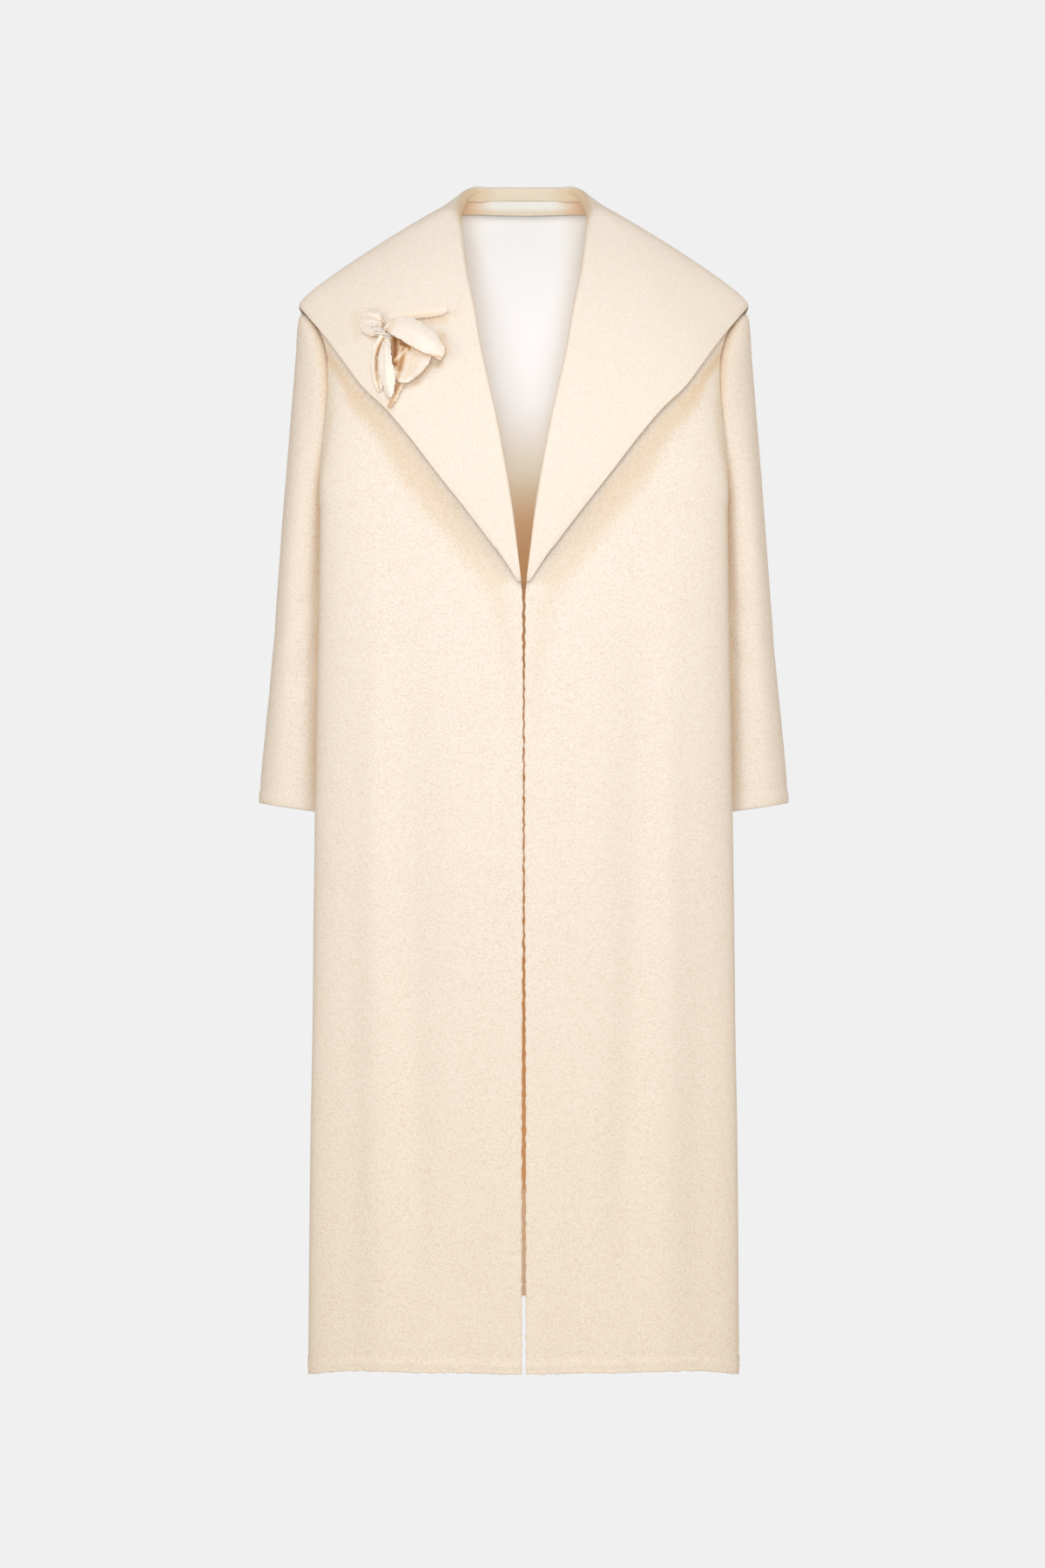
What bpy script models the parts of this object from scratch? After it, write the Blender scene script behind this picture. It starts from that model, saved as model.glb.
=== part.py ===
"""Full-length wool coat, filled out and hollow, with a wide cape collar.

Frame: metres, +Z up, the coat faces -Y. The origin is the middle of the neck, level with its
sides. The wearer's left is +X. Every cloth piece is a sheet laid through sections and thickened.
"""

import math

import bmesh
import bpy
import numpy as np
from mathutils import Vector

WOOL = 0.0020
CREPE = 0.0020
SATIN = 0.0010
LINING = 0.0010
PETAL = 0.0010
SEAM = 0.0003

UNDERARM = 0.335
LAP_Y = 0.070
SIDE_Y = 0.018
BACK_Y = 0.085
NECK_X = 0.0765
NECK_Y = 0.003
NECK_Z = -0.0150
BACK_NECK_Y = 0.0795
BACK_NECK_Z = 0.0240
NECK_TILT = 0.21
SHOULDER_RISE = 0.012
SHOULDER = np.array((0.2335, 0.004, -0.1150))
ARMPIT = np.array((0.1935, SIDE_Y, -UNDERARM))
ARMHOLE_HALF_WIDTH = 0.062
BAND_DROP = 0.0145
HOOK_DROP = 0.4215
WIRE = 0.00045

# Sections of the body below the arm, by drop from the neck.
# lap: half-width of the front where it laps the arm; side: half-width at the side seam.
BODY_COLUMNS = ("drop", "front", "lap", "side", "back_lap", "back")
BODY = np.array((
    (0.335, 0.138, 0.2165, 0.1935, 0.1965, 0.116),
    (0.420, 0.145, 0.2178, 0.1900, 0.1975, 0.121),
    (0.540, 0.148, 0.2200, 0.1890, 0.2000, 0.126),
    (0.640, 0.149, 0.2216, 0.1885, 0.2030, 0.130),
    (0.666, 0.149, 0.2220, 0.1895, 0.2045, 0.131),
    (0.705, 0.150, 0.2224, 0.2050, 0.2100, 0.133),
    (0.770, 0.150, 0.2232, 0.2215, 0.2160, 0.135),
    (0.880, 0.151, 0.2242, 0.2264, 0.2195, 0.139),
    (1.000, 0.152, 0.2268, 0.2302, 0.2220, 0.144),
    (1.130, 0.154, 0.2288, 0.2325, 0.2245, 0.149),
    (1.265, 0.156, 0.2300, 0.2340, 0.2270, 0.154),
))

# The hem's drop at the centre front, front lap, side seam, back lap and centre back.
HEM = {"front": 1.2353, "lap": 1.2505, "side": 1.2575, "back_lap": 1.2380, "back": 1.2120}

# Front edge: drop and half-width of the opening between the two fronts.
EDGE_COLUMNS = ("drop", "half_gap")
EDGE = np.array((
    (0.005, 0.0765),
    (0.035, 0.0745),
    (0.082, 0.0685),
    (0.126, 0.0590),
    (0.168, 0.0519),
    (0.208, 0.0431),
    (0.246, 0.0348),
    (0.306, 0.0239),
    (0.349, 0.0170),
    (0.385, 0.0105),
    (0.414, 0.0036),
    (0.430, 0.0012),
    (0.760, 0.0012),
    (0.900, 0.0018),
    (1.150, 0.0020),
    (1.270, 0.0022),
))

# Collar, from the break of the front round to the centre back: the roll line, then the outer
# edge, and the amount by which the leaf between them bellies out.
COLLAR_COLUMNS = (
    "roll_x", "roll_y", "roll_z", "edge_x", "edge_y", "edge_z", "belly", "stand", "radius",
)
COLLAR_FRONT = np.array((
    (0.0016, -0.1510, -0.4140, 0.0050, -0.1530, -0.4180, 0.000, 0.0006, 0.0036),
    (0.0059, -0.1505, -0.3850, 0.0145, -0.1540, -0.4046, 0.001, 0.0006, 0.0036),
    (0.0104, -0.1480, -0.3490, 0.0322, -0.1530, -0.3794, 0.002, 0.0006, 0.0036),
    (0.0167, -0.1435, -0.3063, 0.0592, -0.1490, -0.3434, 0.003, 0.0006, 0.0036),
    (0.0276, -0.1340, -0.2460, 0.0914, -0.1425, -0.3020, 0.004, 0.0006, 0.0036),
    (0.0359, -0.1235, -0.2075, 0.1225, -0.1310, -0.2608, 0.005, 0.0006, 0.0036),
    (0.0443, -0.1090, -0.1680, 0.1457, -0.1190, -0.2328, 0.007, 0.0006, 0.0038),
    (0.0511, -0.0890, -0.1260, 0.1693, -0.1050, -0.2090, 0.010, 0.0006, 0.0040),
    (0.0599, -0.0620, -0.0817, 0.1920, -0.0835, -0.1776, 0.014, 0.0006, 0.0044),
    (0.0660, -0.0300, -0.0370, 0.2162, -0.0515, -0.1434, 0.019, 0.0006, 0.0052),
    (0.0680, -0.0130, -0.0185, 0.2310, -0.0290, -0.1246, 0.022, 0.0006, 0.0056),
    (0.0688, 0.0030, -0.0020, 0.2465, 0.0040, -0.1035, 0.025, 0.0006, 0.0060),
))
COLLAR_BACK = np.array((
    (0.0688, 0.0030, -0.0020, 0.2465, 0.0040, -0.1035, 0.025, 0.0006, 0.0060),
    (0.0656, 0.0320, 0.0167, 0.2280, 0.0640, -0.1330, 0.032, 0.0006, 0.0060),
    (0.0630, 0.0440, 0.0265, 0.2130, 0.0850, -0.1440, 0.032, 0.0006, 0.0055),
    (0.0600, 0.0510, 0.0322, 0.2050, 0.0950, -0.1490, 0.031, 0.0010, 0.0052),
    (0.0556, 0.0580, 0.0363, 0.1950, 0.1030, -0.1530, 0.030, 0.0072, 0.0050),
    (0.0380, 0.0735, 0.0400, 0.1400, 0.1290, -0.1650, 0.024, 0.0107, 0.0045),
    (0.0190, 0.0795, 0.0409, 0.0720, 0.1410, -0.1700, 0.020, 0.0107, 0.0045),
    (0.0000, 0.0815, 0.0411, 0.0000, 0.1450, -0.1715, 0.020, 0.0107, 0.0045),
))

# Sleeve, by section: the outer line and the inner line of the tube, and its depth.
SLEEVE_COLUMNS = ("outer_x", "outer_z", "inner_x", "inner_z", "middle_y", "half_depth")
SLEEVE = np.array((
    (0.2335, -0.1150, 0.1935, -0.3350, 0.011, 0.0620),
    (0.2405, -0.1210, 0.1945, -0.3375, 0.011, 0.0618),
    (0.2455, -0.1360, 0.1948, -0.3390, 0.012, 0.0616),
    (0.2490, -0.1640, 0.1950, -0.3405, 0.014, 0.0612),
    (0.2535, -0.2100, 0.1952, -0.3430, 0.017, 0.0605),
    (0.2586, -0.2700, 0.1953, -0.3480, 0.020, 0.0598),
    (0.2641, -0.3340, 0.1953, -0.3600, 0.022, 0.0592),
    (0.2697, -0.4000, 0.1952, -0.4080, 0.023, 0.0590),
    (0.2764, -0.4800, 0.1951, -0.4850, 0.024, 0.0590),
    (0.2832, -0.5610, 0.1951, -0.5700, 0.024, 0.0592),
    (0.2905, -0.6465, 0.1955, -0.6600, 0.024, 0.0595),
))
ARMHOLE_SEAM = 0.0011
SCOOP = 0.0125

# Columns of the half-back: angle round the section and half-width at the neck or shoulder.
BACK_COLUMNS = ("angle", "top_x")
BACK = np.array((
    (0.0, 0.0),
    (9.0, 0.0200),
    (18.0, 0.0390),
    (26.0, 0.0570),
    (31.0, 0.0690),
    (35.0, 0.0765),
    (45.0, 0.1000),
    (57.0, 0.1330),
    (72.0, 0.1750),
    (90.0, 0.2190),
))
FRONT_ANGLES = (0.0, 12.0, 24.0, 37.0, 51.0, 68.0, 90.0)
FRONT_TOPS = (0.0, 0.15, 0.30, 0.46, 0.62, 0.78, 0.92)
TUCK = (0.0, 0.25, 0.5, 0.75, 1.0)
DROPS_BELOW = (0.0, 0.045, 0.09, 0.16, 0.26, 0.36, 0.40, 0.46, 0.58, 0.72, 0.86, 1.0)
ROWS_ABOVE = 10

# Flower: millimetres from its knot, across and up as seen from the front, left edge then right
# edge, how far each edge lifts off the collar, and the dome between them.
PETAL_COLUMNS = ("left_x", "left_z", "right_x", "right_z", "lift_left", "lift_right", "dome")
FLOWER = {
    "petal_domed": (
        (2, 5, 3, -4, 9, 9, 1),
        (10, 15, 13, -6, 9, 14, 5),
        (20, 19, 27, -15, 8, 18, 9),
        (37, 13, 40, -22, 8, 20, 10),
        (52, 2, 51, -26, 9, 19, 8),
        (60, -11, 58, -28, 10, 16, 5),
        (64, -22, 62, -28, 12, 14, 1),
    ),
    "petal_cupped": (
        (8, -11, 26, -19, 3, 8, -1),
        (10, -22, 35, -22, 3, 9, -3),
        (12, -33, 43, -25, 3, 11, -4),
        (13, -43, 48, -32, 4, 12, -3),
        (15, -50, 46, -40, 6, 12, -1),
        (17, -54, 40, -49, 8, 11, 1),
    ),
    "leaf_middle": (
        (0, -7, 7, -8, 7, 7, 1),
        (-5, -20, 9, -20, 6, 9, 4),
        (-6, -34, 10, -32, 6, 9, 5),
        (-3, -46, 14, -44, 5, 9, 5),
        (0, -58, 13, -58, 4, 8, 4),
        (2, -69, 9, -70, 3, 6, 3),
        (4, -78, 6, -79, 3, 4, 1),
    ),
    "leaf_left": (
        (-3, -3, -1, -5, 7, 7, 1),
        (-9, -11, -6, -12, 4, 5, 2),
        (-12, -26, -7.5, -24, 3, 5, 3),
        (-11, -41, -7.5, -37, 3, 4, 3),
        (-8, -56, -4.5, -50, 3, 4, 2),
        (-5, -66, -3, -62, 3, 3, 1),
    ),
    "leaf_flat": (
        (5, 20, 10, 17, 3, 3, 1),
        (15, 25, 20, 19, 3, 3.5, 2),
        (28, 27, 33, 19, 3, 4, 2),
        (42, 29, 46, 21, 3, 4, 2),
        (56, 29, 58, 23, 3, 3.5, 1),
        (67, 27, 68, 25, 3, 3, 0.5),
    ),
    "tuft": (
        (-22, 3, -9, 1, 3, 5, 1),
        (-25, 10, -6, 8, 4, 6, 4),
        (-24, 18, -5, 17, 4, 6, 5),
        (-19, 25, -6, 25, 4, 5, 4),
        (-13, 29, -8, 29, 4, 4, 1),
    ),
    "twist": (
        (1, 4, 7, 3, 3, 4, 0.5),
        (3, 8, 9, 7, 3, 4, 1),
        (4, 12, 10, 11, 3, 4, 1),
        (4, 16, 9, 15, 3, 3.5, 0.5),
    ),
    "stem": (
        (16, -56, 20, -57, 3, 3, 0.4),
        (13, -66, 18, -68, 2.6, 2.6, 0.6),
        (9, -76, 13, -78, 2.4, 2.4, 0.6),
        (5, -83, 8, -84, 2.4, 2.4, 0.4),
    ),
}
KNOT = {"x": -0.1480, "z": -0.1500}
# Crystal beads: millimetres from the knot, across, up and out from the collar, and radius.
BEADS = (
    (-8.5, 3.0, 10.5, 2.2),
    (-12.0, 8.0, 12.8, 2.0),
    (-7.5, 9.5, 10.8, 1.8),
    (-3.0, 1.5, 9.0, 1.8),
    (3.5, -7.0, 10.9, 1.8),
)


def through(table, column, x):
    """Smooth curve through one column of a table, by its first column."""
    xs = table[:, 0]
    ys = table[:, column]
    x = np.clip(np.asarray(x, float), xs[0], xs[-1])
    slope = np.gradient(ys, xs)
    i = np.clip(np.searchsorted(xs, x) - 1, 0, len(xs) - 2)
    h = xs[i + 1] - xs[i]
    t = (x - xs[i]) / h
    first = (1 + 2 * t) * (1 - t) ** 2 * ys[i] + t * (1 - t) ** 2 * h * slope[i]
    second = t * t * (3 - 2 * t) * ys[i + 1] - t * t * (1 - t) * h * slope[i + 1]
    return first + second


def size(name, drop):
    """One named size of the body's section at a drop."""
    return through(BODY, BODY_COLUMNS.index(name), drop)


def half_gap(drop):
    return np.interp(drop, EDGE[:, 0], EDGE[:, 1])


def unit(v):
    return v / np.maximum(np.linalg.norm(v, axis=-1, keepdims=True), 1e-12)


def ease(t):
    t = np.clip(t, 0, 1)
    return t * t * (3 - 2 * t)


def section(angle, tuck, drop, front):
    """Half-section of the body: a flat oval to the lap, then a tuck in to the side seam."""
    lap = size("lap" if front else "back_lap", drop)
    side = size("side", drop)
    depth = size("front" if front else "back", drop)
    lap_y = LAP_Y if front else BACK_Y
    oval_x = lap * np.sin(angle)
    oval_y = lap_y + (depth - lap_y) * np.cos(angle) ** 0.85
    x = oval_x + (side - lap) * ease(tuck ** 0.7)
    if front:
        return x, -oval_y + (SIDE_Y + lap_y) * tuck
    return x, oval_y + (SIDE_Y - lap_y) * tuck


def scoop(level):
    """Inward scoop of the front of the armhole, by share of the way up from the underarm."""
    return SCOOP * np.sin(np.pi * level ** 2.6)


def half_panel(front):
    """Grid of a half-front or half-back, hem to shoulder, opening edge to side: (rows, columns)."""
    if front:
        angle = np.radians(FRONT_ANGLES)
        top = np.array(FRONT_TOPS)
        hems = (HEM["front"], HEM["lap"])
        power = 7
    else:
        angle = np.radians(BACK[:, 0])
        top = BACK[:, 1] / SHOULDER[0]
        hems = (HEM["back"], HEM["back_lap"])
        power = 2
    tuck = np.concatenate((np.zeros(len(angle) - 1), TUCK))
    angle = np.concatenate((angle, np.full(len(TUCK) - 1, math.pi / 2)))
    ends = 1 - (1 - top[-1]) * (1 - np.array(TUCK[1:]))
    top = np.concatenate((top, ends))
    hem = hems[0] + (hems[1] - hems[0]) * np.sin(angle) ** power
    hem = hem + (HEM["side"] - hems[1]) * tuck

    fall = np.array(DROPS_BELOW)[::-1, None]
    drop = UNDERARM + (hem - UNDERARM) * fall
    start = np.zeros_like(drop)
    if front:
        start = np.arcsin(np.clip(half_gap(drop) / size("lap", drop), 0, 1))
    around = start + (math.pi / 2 - start) * (angle / (math.pi / 2))
    x, y = section(around, tuck, drop, front)
    below = np.stack((x, y, -drop), -1)

    level = ((1 - np.cos(np.pi * np.arange(1, ROWS_ABOVE + 1) / ROWS_ABOVE)) / 2)[:, None]
    if front:
        top_x = NECK_X + (SHOULDER[0] - NECK_X) * top
    else:
        top_x = SHOULDER[0] * top
    along = np.clip((top_x - NECK_X) / (SHOULDER[0] - NECK_X), 0, 1)
    top_y = np.full_like(top_x, NECK_Y)
    top_z = NECK_Z + (SHOULDER[2] - NECK_Z) * along + SHOULDER_RISE * 4 * along * (1 - along)
    if not front:
        round_neck = (1 - np.clip(top_x / NECK_X, 0, 1) ** 2.6) ** (1 / 2.6)
        top_y = NECK_Y + (BACK_NECK_Y - NECK_Y) * round_neck
        top_z = top_z + (BACK_NECK_Z - NECK_Z) * round_neck ** 0.5
    z = -UNDERARM + (top_z + UNDERARM) * level
    edge_x = ARMPIT[0] + (SHOULDER[0] - ARMPIT[0]) * level
    swing = ARMHOLE_HALF_WIDTH * 2 * np.sqrt(level * (1 - level))
    middle_y = ARMPIT[1] + (SHOULDER[1] - ARMPIT[1]) * level
    edge_y = middle_y - swing if front else middle_y + swing
    start_x = half_gap(-z) if front else np.zeros_like(z)
    first_x = half_gap(UNDERARM) if front else 0.0
    ring = below[-1]
    spread = (ring[:, 0] - first_x) / (ARMPIT[0] - first_x)
    share = spread + (top - spread) * (ease(level / 0.85) ** 0.8 if front else ease(level / 0.5))
    x = start_x + (edge_x - start_x) * share
    if front:
        x = x - scoop(level) * tuck
    # The panel rises to the shoulder in a flat curve at the neck and a full one at the arm.
    fullness = 0.85 - 0.49 * top if front else 0.75 - 0.36 * top
    profile = (1 - level ** (1.6 if front else 2)) ** fullness
    lap_y = np.where(tuck > 0, -LAP_Y if front else BACK_Y, ring[:, 1])
    y = (top_y + (lap_y - top_y) * profile) * (1 - tuck) + edge_y * tuck
    above = np.stack((x, y, z), -1)
    return np.concatenate((below, above))


def collar_rows(front_steps, back_steps):
    """Half-collar rows round the roll line, break to centre back, with named columns."""
    def resample(table, count):
        step = np.linalg.norm(np.diff(table[:, 3:6], axis=0), axis=1)
        at = np.concatenate(((0.0,), np.cumsum(step))) / step.sum()
        keyed = np.concatenate((at[:, None], table), 1)
        where = np.linspace(0, 1, count + 1)
        return np.stack([through(keyed, k, where) for k in range(1, table.shape[1] + 1)], -1)

    front = resample(COLLAR_FRONT, front_steps)
    back = resample(COLLAR_BACK, back_steps)
    return np.concatenate((front, back[1:]))


def collar_half():
    """Grid of the half-collar: (round the neck, from the stand over the roll to the edge)."""
    rows = collar_rows(12, 8)
    roll = rows[:, 0:3]
    edge = rows[:, 3:6]
    belly, stand, radius = rows[:, 6:7], rows[:, 7:8], rows[:, 8:9]
    out = unit(edge - roll)
    along = unit(np.gradient(roll, axis=0))
    up = unit(np.cross(out, along))
    centre = roll + out * radius
    columns = [centre - up * radius - np.array((0, 0, 1)) * stand]
    for turn in (-90.0, -45.0, 0.0, 45.0):
        a = math.radians(turn)
        columns.append(centre + (up * math.sin(a) - out * math.cos(a)) * radius)
    first = centre + up * radius
    control = (first + edge) / 2 + up * belly
    for t in (0.0, 0.15, 0.33, 0.54, 0.77, 1.0):
        columns.append(first * (1 - t) ** 2 + control * 2 * t * (1 - t) + edge * t * t)
    return np.stack(columns, 1)


def sleeve_tube():
    """Grid of the sleeve: (armhole to cuff, round)."""
    turn = np.linspace(0, 2 * math.pi, 2 * ROWS_ABOVE + 1)[:-1]
    outer = np.stack((SLEEVE[:, 0], np.zeros(len(SLEEVE)), SLEEVE[:, 1]), -1)
    inner = np.stack((SLEEVE[:, 2], np.zeros(len(SLEEVE)), SLEEVE[:, 3]), -1)
    middle = (outer + inner) / 2
    middle[:, 1] = SLEEVE[:, 4]
    half = (outer - inner) / 2
    lean = np.zeros_like(half)
    lean[0, 1] = (SHOULDER[1] - ARMPIT[1]) / 2
    lean[1:4, 1] = lean[0, 1] * np.array((0.8, 0.5, 0.2))
    half = half + lean
    grid = middle[:, None] + np.cos(turn)[None, :, None] * half[:, None]
    grid[:, :, 1] += -np.sin(turn)[None, :] * SLEEVE[:, 5][:, None]
    for row, keep in enumerate((1.0, 0.85, 0.6, 0.3, 0.1)):
        grid[row, :, 0] -= keep * scoop((1 + np.cos(turn)) / 2) * (np.sin(turn) > 0)
    across = unit(np.cross((0, 1.0, 0), half[0]))
    grid[0] += across * ARMHOLE_SEAM
    return grid


def normals(grid):
    """Unit normals of a grid: outward for a front, whose columns go from the edge to the side."""
    return unit(np.cross(np.gradient(grid, axis=1), np.gradient(grid, axis=0)))


def material(name, colour, rough, metal=0.0):
    mat = bpy.data.materials.new(name)
    mat.use_nodes = True
    shader = mat.node_tree.nodes["Principled BSDF"]
    shader.inputs["Base Color"].default_value = (*colour, 1)
    shader.inputs["Roughness"].default_value = rough
    shader.inputs["Metallic"].default_value = metal
    return mat


def sheet(name, grid, thick, mat, closed=False, flip=False):
    """One cloth piece: a grid of points, thickened inwards."""
    rows, columns = grid.shape[:2]
    index = np.arange(rows * columns).reshape(rows, columns)
    if closed:
        index = np.concatenate((index, index[:, :1]), 1)
    a = index[:-1, :-1].ravel()
    b = index[:-1, 1:].ravel()
    c = index[1:, 1:].ravel()
    d = index[1:, :-1].ravel()
    faces = np.stack((a, b, c, d) if not flip else (d, c, b, a), -1)
    mesh = bpy.data.meshes.new(name)
    mesh.from_pydata(grid.reshape(-1, 3).tolist(), [], faces.tolist())
    mesh.shade_smooth()
    mesh.materials.append(mat)
    obj = bpy.data.objects.new(name, mesh)
    bpy.context.scene.collection.objects.link(obj)
    solid = obj.modifiers.new("cloth", "SOLIDIFY")
    solid.thickness = thick
    solid.offset = -1
    return obj


def shell(name, outer, inward, thick, mat, flip=False):
    """One cloth piece between two grids, the second moved in along the given directions."""
    rows, columns = outer.shape[:2]
    points = np.concatenate((outer.reshape(-1, 3), (outer + inward * thick).reshape(-1, 3)))
    index = np.arange(rows * columns).reshape(rows, columns)
    under = index + rows * columns
    quads = [np.stack((index[:-1, :-1], index[:-1, 1:], index[1:, 1:], index[1:, :-1]), -1)]
    quads.append(np.stack((under[:-1, :-1], under[1:, :-1], under[1:, 1:], under[:-1, 1:]), -1))
    rim = np.concatenate((index[0, :], index[1:, -1], index[-1, -2::-1], index[-2:0:-1, 0]))
    ahead = np.roll(rim, -1)
    below = rows * columns
    quads.append(np.stack((ahead, rim, rim + below, ahead + below), -1)[None])
    faces = np.concatenate([quad.reshape(-1, 4) for quad in quads])
    if flip:
        faces = faces[:, ::-1]
    mesh = bpy.data.meshes.new(name)
    mesh.from_pydata(points.tolist(), [], faces.tolist())
    mesh.shade_smooth()
    mesh.set_sharp_from_angle(angle=math.radians(50))
    mesh.materials.append(mat)
    obj = bpy.data.objects.new(name, mesh)
    bpy.context.scene.collection.objects.link(obj)
    return obj


def trimmed(grid, first_row=0.0, last_row=0.0, first_column=0.0, last_column=0.0):
    """Pull the borders of a grid in by some distances."""
    grid = grid.copy()
    if first_row:
        grid[0] += unit(grid[1] - grid[0]) * first_row
    if last_row:
        grid[-1] += unit(grid[-2] - grid[-1]) * last_row
    if first_column:
        grid[:, 0] += unit(grid[:, 1] - grid[:, 0]) * first_column
    if last_column:
        grid[:, -1] += unit(grid[:, -2] - grid[:, -1]) * last_column
    return grid


def mirrored(grid):
    return grid * np.array((-1, 1, 1))


def both_sides(half):
    """Left and right halves joined at the centre column or row."""
    return np.concatenate((mirrored(half[:, :0:-1]), half), 1)


def wire(name, points, radius, mat):
    """A bent wire: a curve with a round bevel and closed ends."""
    curve = bpy.data.curves.new(name, "CURVE")
    curve.dimensions = "3D"
    curve.bevel_depth = radius
    curve.bevel_resolution = 1
    curve.use_fill_caps = True
    curve.resolution_u = 1
    spline = curve.splines.new("POLY")
    spline.points.add(len(points) - 1)
    for point, place in zip(spline.points, points):
        point.co = (*place, 1)
    curve.materials.append(mat)
    obj = bpy.data.objects.new(name, curve)
    bpy.context.scene.collection.objects.link(obj)
    return obj


for old in list(bpy.data.objects):
    bpy.data.objects.remove(old, do_unlink=True)

boucle = material("boucle_wool", (0.93, 0.83, 0.70), 0.95)
crepe = material("ribbed_crepe", (0.94, 0.86, 0.74), 0.85)
satin = material("satin_strip", (0.90, 0.84, 0.72), 0.45)
lining_white = material("white_lining", (0.96, 0.93, 0.88), 0.75)
petal_cloth = material("petal_cloth", (0.93, 0.85, 0.73), 0.9)
crystal = material("clear_crystal", (0.92, 0.94, 0.96), 0.08)
steel = material("steel_wire", (0.55, 0.50, 0.42), 0.35, 1.0)

front = half_panel(True)
back = half_panel(False)
front_in = -normals(front)
back_in = normals(back)
under = len(DROPS_BELOW)
shared = unit(front_in[:under, -1] + back_in[:under, -1])
front_in[:under, -1] = shared
back_in[:under, -1] = shared
# Along the shoulder seam both panels are thickened square to the seam.
neck = 5
for grid, into, first in ((front, front_in, 0), (back, back_in, neck)):
    seam = np.gradient(grid[-1, first:], axis=0)
    into[-1, first:] = -unit(np.cross(seam, (0, 1.0, 0)))
front_cut = trimmed(front, last_row=SEAM, last_column=SEAM)
back_cut = trimmed(back, last_column=SEAM)
back_cut[-1, neck:] += unit(back[-2] - back[-1])[neck:] * SEAM

shell("front_left", front_cut, front_in, WOOL, boucle)
shell("front_right", mirrored(front_cut), mirrored(front_in), WOOL, boucle, flip=True)
back_both = np.concatenate((mirrored(back_in[:, :0:-1]), back_in), 1)
shell("back", both_sides(back_cut), back_both, WOOL, boucle, flip=True)

tube = sleeve_tube()
sheet("sleeve_left", tube, WOOL, boucle, closed=True)
sheet("sleeve_right", mirrored(tube), WOOL, boucle, closed=True, flip=True)

half = collar_half()
collar = np.concatenate((half, mirrored(half)[-2::-1]))
sheet("collar", collar, CREPE, crepe)

# The band and the lining lie on the back's own points, moved in.
top = back[-1, :5] + back_in[-1, :5] * (WOOL + 0.0016)
top[:, 2] = BACK_NECK_Z - 0.0010 - NECK_TILT * (BACK_NECK_Y - top[:, 1])
fall = np.array((0, 0, -1.0))
band = np.stack((top + fall * BAND_DROP, top + fall * BAND_DROP / 2, top))
sheet("neck_band", both_sides(band), SATIN, satin, flip=True)

end = len(BACK)
rows = (back + back_in * (WOOL + 0.0015))[1:-1, :end]
rows[-1, :6] = rows[-2, :6] + (rows[-1, :6] - rows[-2, :6]) * 0.62
sheet("back_lining", both_sides(rows), LINING, lining_white, flip=True)

# The flower is laid off the collar: a smooth surface through the collar's points round the knot.
leaf = mirrored(half)[:, 4:].reshape(-1, 3)
leaf = leaf[leaf[:, 1] < -0.01]
near = leaf[np.hypot(leaf[:, 0] - KNOT["x"], leaf[:, 2] - KNOT["z"]) < 0.09]


def powers(x, z):
    x = (np.asarray(x) - KNOT["x"]) * 10
    z = (np.asarray(z) - KNOT["z"]) * 10
    return np.stack((np.ones_like(x), x, z, x * x, x * z, z * z), -1)


fit = np.linalg.lstsq(powers(near[:, 0], near[:, 2]), near[:, 1], rcond=None)[0]


def off_collar(across, up, lift):
    """Point a lift in front of the collar, by millimetres across and up from the knot."""
    x = KNOT["x"] + np.asarray(across) / 1000
    z = KNOT["z"] + np.asarray(up) / 1000
    return np.stack((x, powers(x, z) @ fit - np.asarray(lift) / 1000, z), -1)


for name, table in FLOWER.items():
    rows = np.array(table, float)[:, :, None]
    t = np.linspace(0, 1, 4)
    left_x, left_z, right_x, right_z, lift_left, lift_right, dome = rows.transpose(1, 0, 2)
    across = left_x + (right_x - left_x) * t
    up = left_z + (right_z - left_z) * t
    lift = lift_left + (lift_right - lift_left) * t + dome * 4 * t * (1 - t)
    sheet(name, off_collar(across, up, lift), PETAL, petal_cloth, flip=True)

for number, (across, up, lift, radius) in enumerate(BEADS, 1):
    mesh = bpy.data.meshes.new(f"crystal_{number}")
    ball = bmesh.new()
    bmesh.ops.create_icosphere(ball, subdivisions=1, radius=radius / 1000)
    ball.to_mesh(mesh)
    ball.free()
    mesh.materials.append(crystal)
    bead = bpy.data.objects.new(f"crystal_{number}", mesh)
    bead.location = off_collar(across, up, lift)
    bpy.context.scene.collection.objects.link(bead)

mesh = bpy.data.meshes.new("flower_base")
disc = bmesh.new()
bmesh.ops.create_cone(disc, cap_ends=True, segments=16, radius1=0.005, radius2=0.004, depth=0.0032)
disc.to_mesh(mesh)
disc.free()
mesh.materials.append(petal_cloth)
base = bpy.data.objects.new("flower_base", mesh)
slope = Vector((-fit[1] * 10, 1, -fit[2] * 10))
base.rotation_euler = (-slope).to_track_quat("Z", "Y").to_euler()
base.location = off_collar(-2.0, -1.0, 3.2)
bpy.context.scene.collection.objects.link(base)

# Hook on the wearer's left front and eye on the right, both inside the front edges.
inside = -float(size("front", HOOK_DROP)) + WOOL + 0.0012
bend = 0.0030
wire("hook", (
    (0.0095, inside, -HOOK_DROP),
    (-0.0012, inside, -HOOK_DROP),
    (-0.0022, inside + bend * 0.25, -HOOK_DROP),
    (-0.0022, inside + bend * 0.75, -HOOK_DROP),
    (-0.0012, inside + bend, -HOOK_DROP),
    (0.0030, inside + bend, -HOOK_DROP),
), WIRE, steel)
bar = inside + bend / 2
wire("eye", (
    (-0.0100, bar, -HOOK_DROP + 0.0024),
    (-0.0012, bar, -HOOK_DROP + 0.0024),
    (-0.0004, bar, -HOOK_DROP + 0.0016),
    (-0.0004, bar, -HOOK_DROP - 0.0016),
    (-0.0012, bar, -HOOK_DROP - 0.0024),
    (-0.0100, bar, -HOOK_DROP - 0.0024),
), WIRE, steel)
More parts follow.
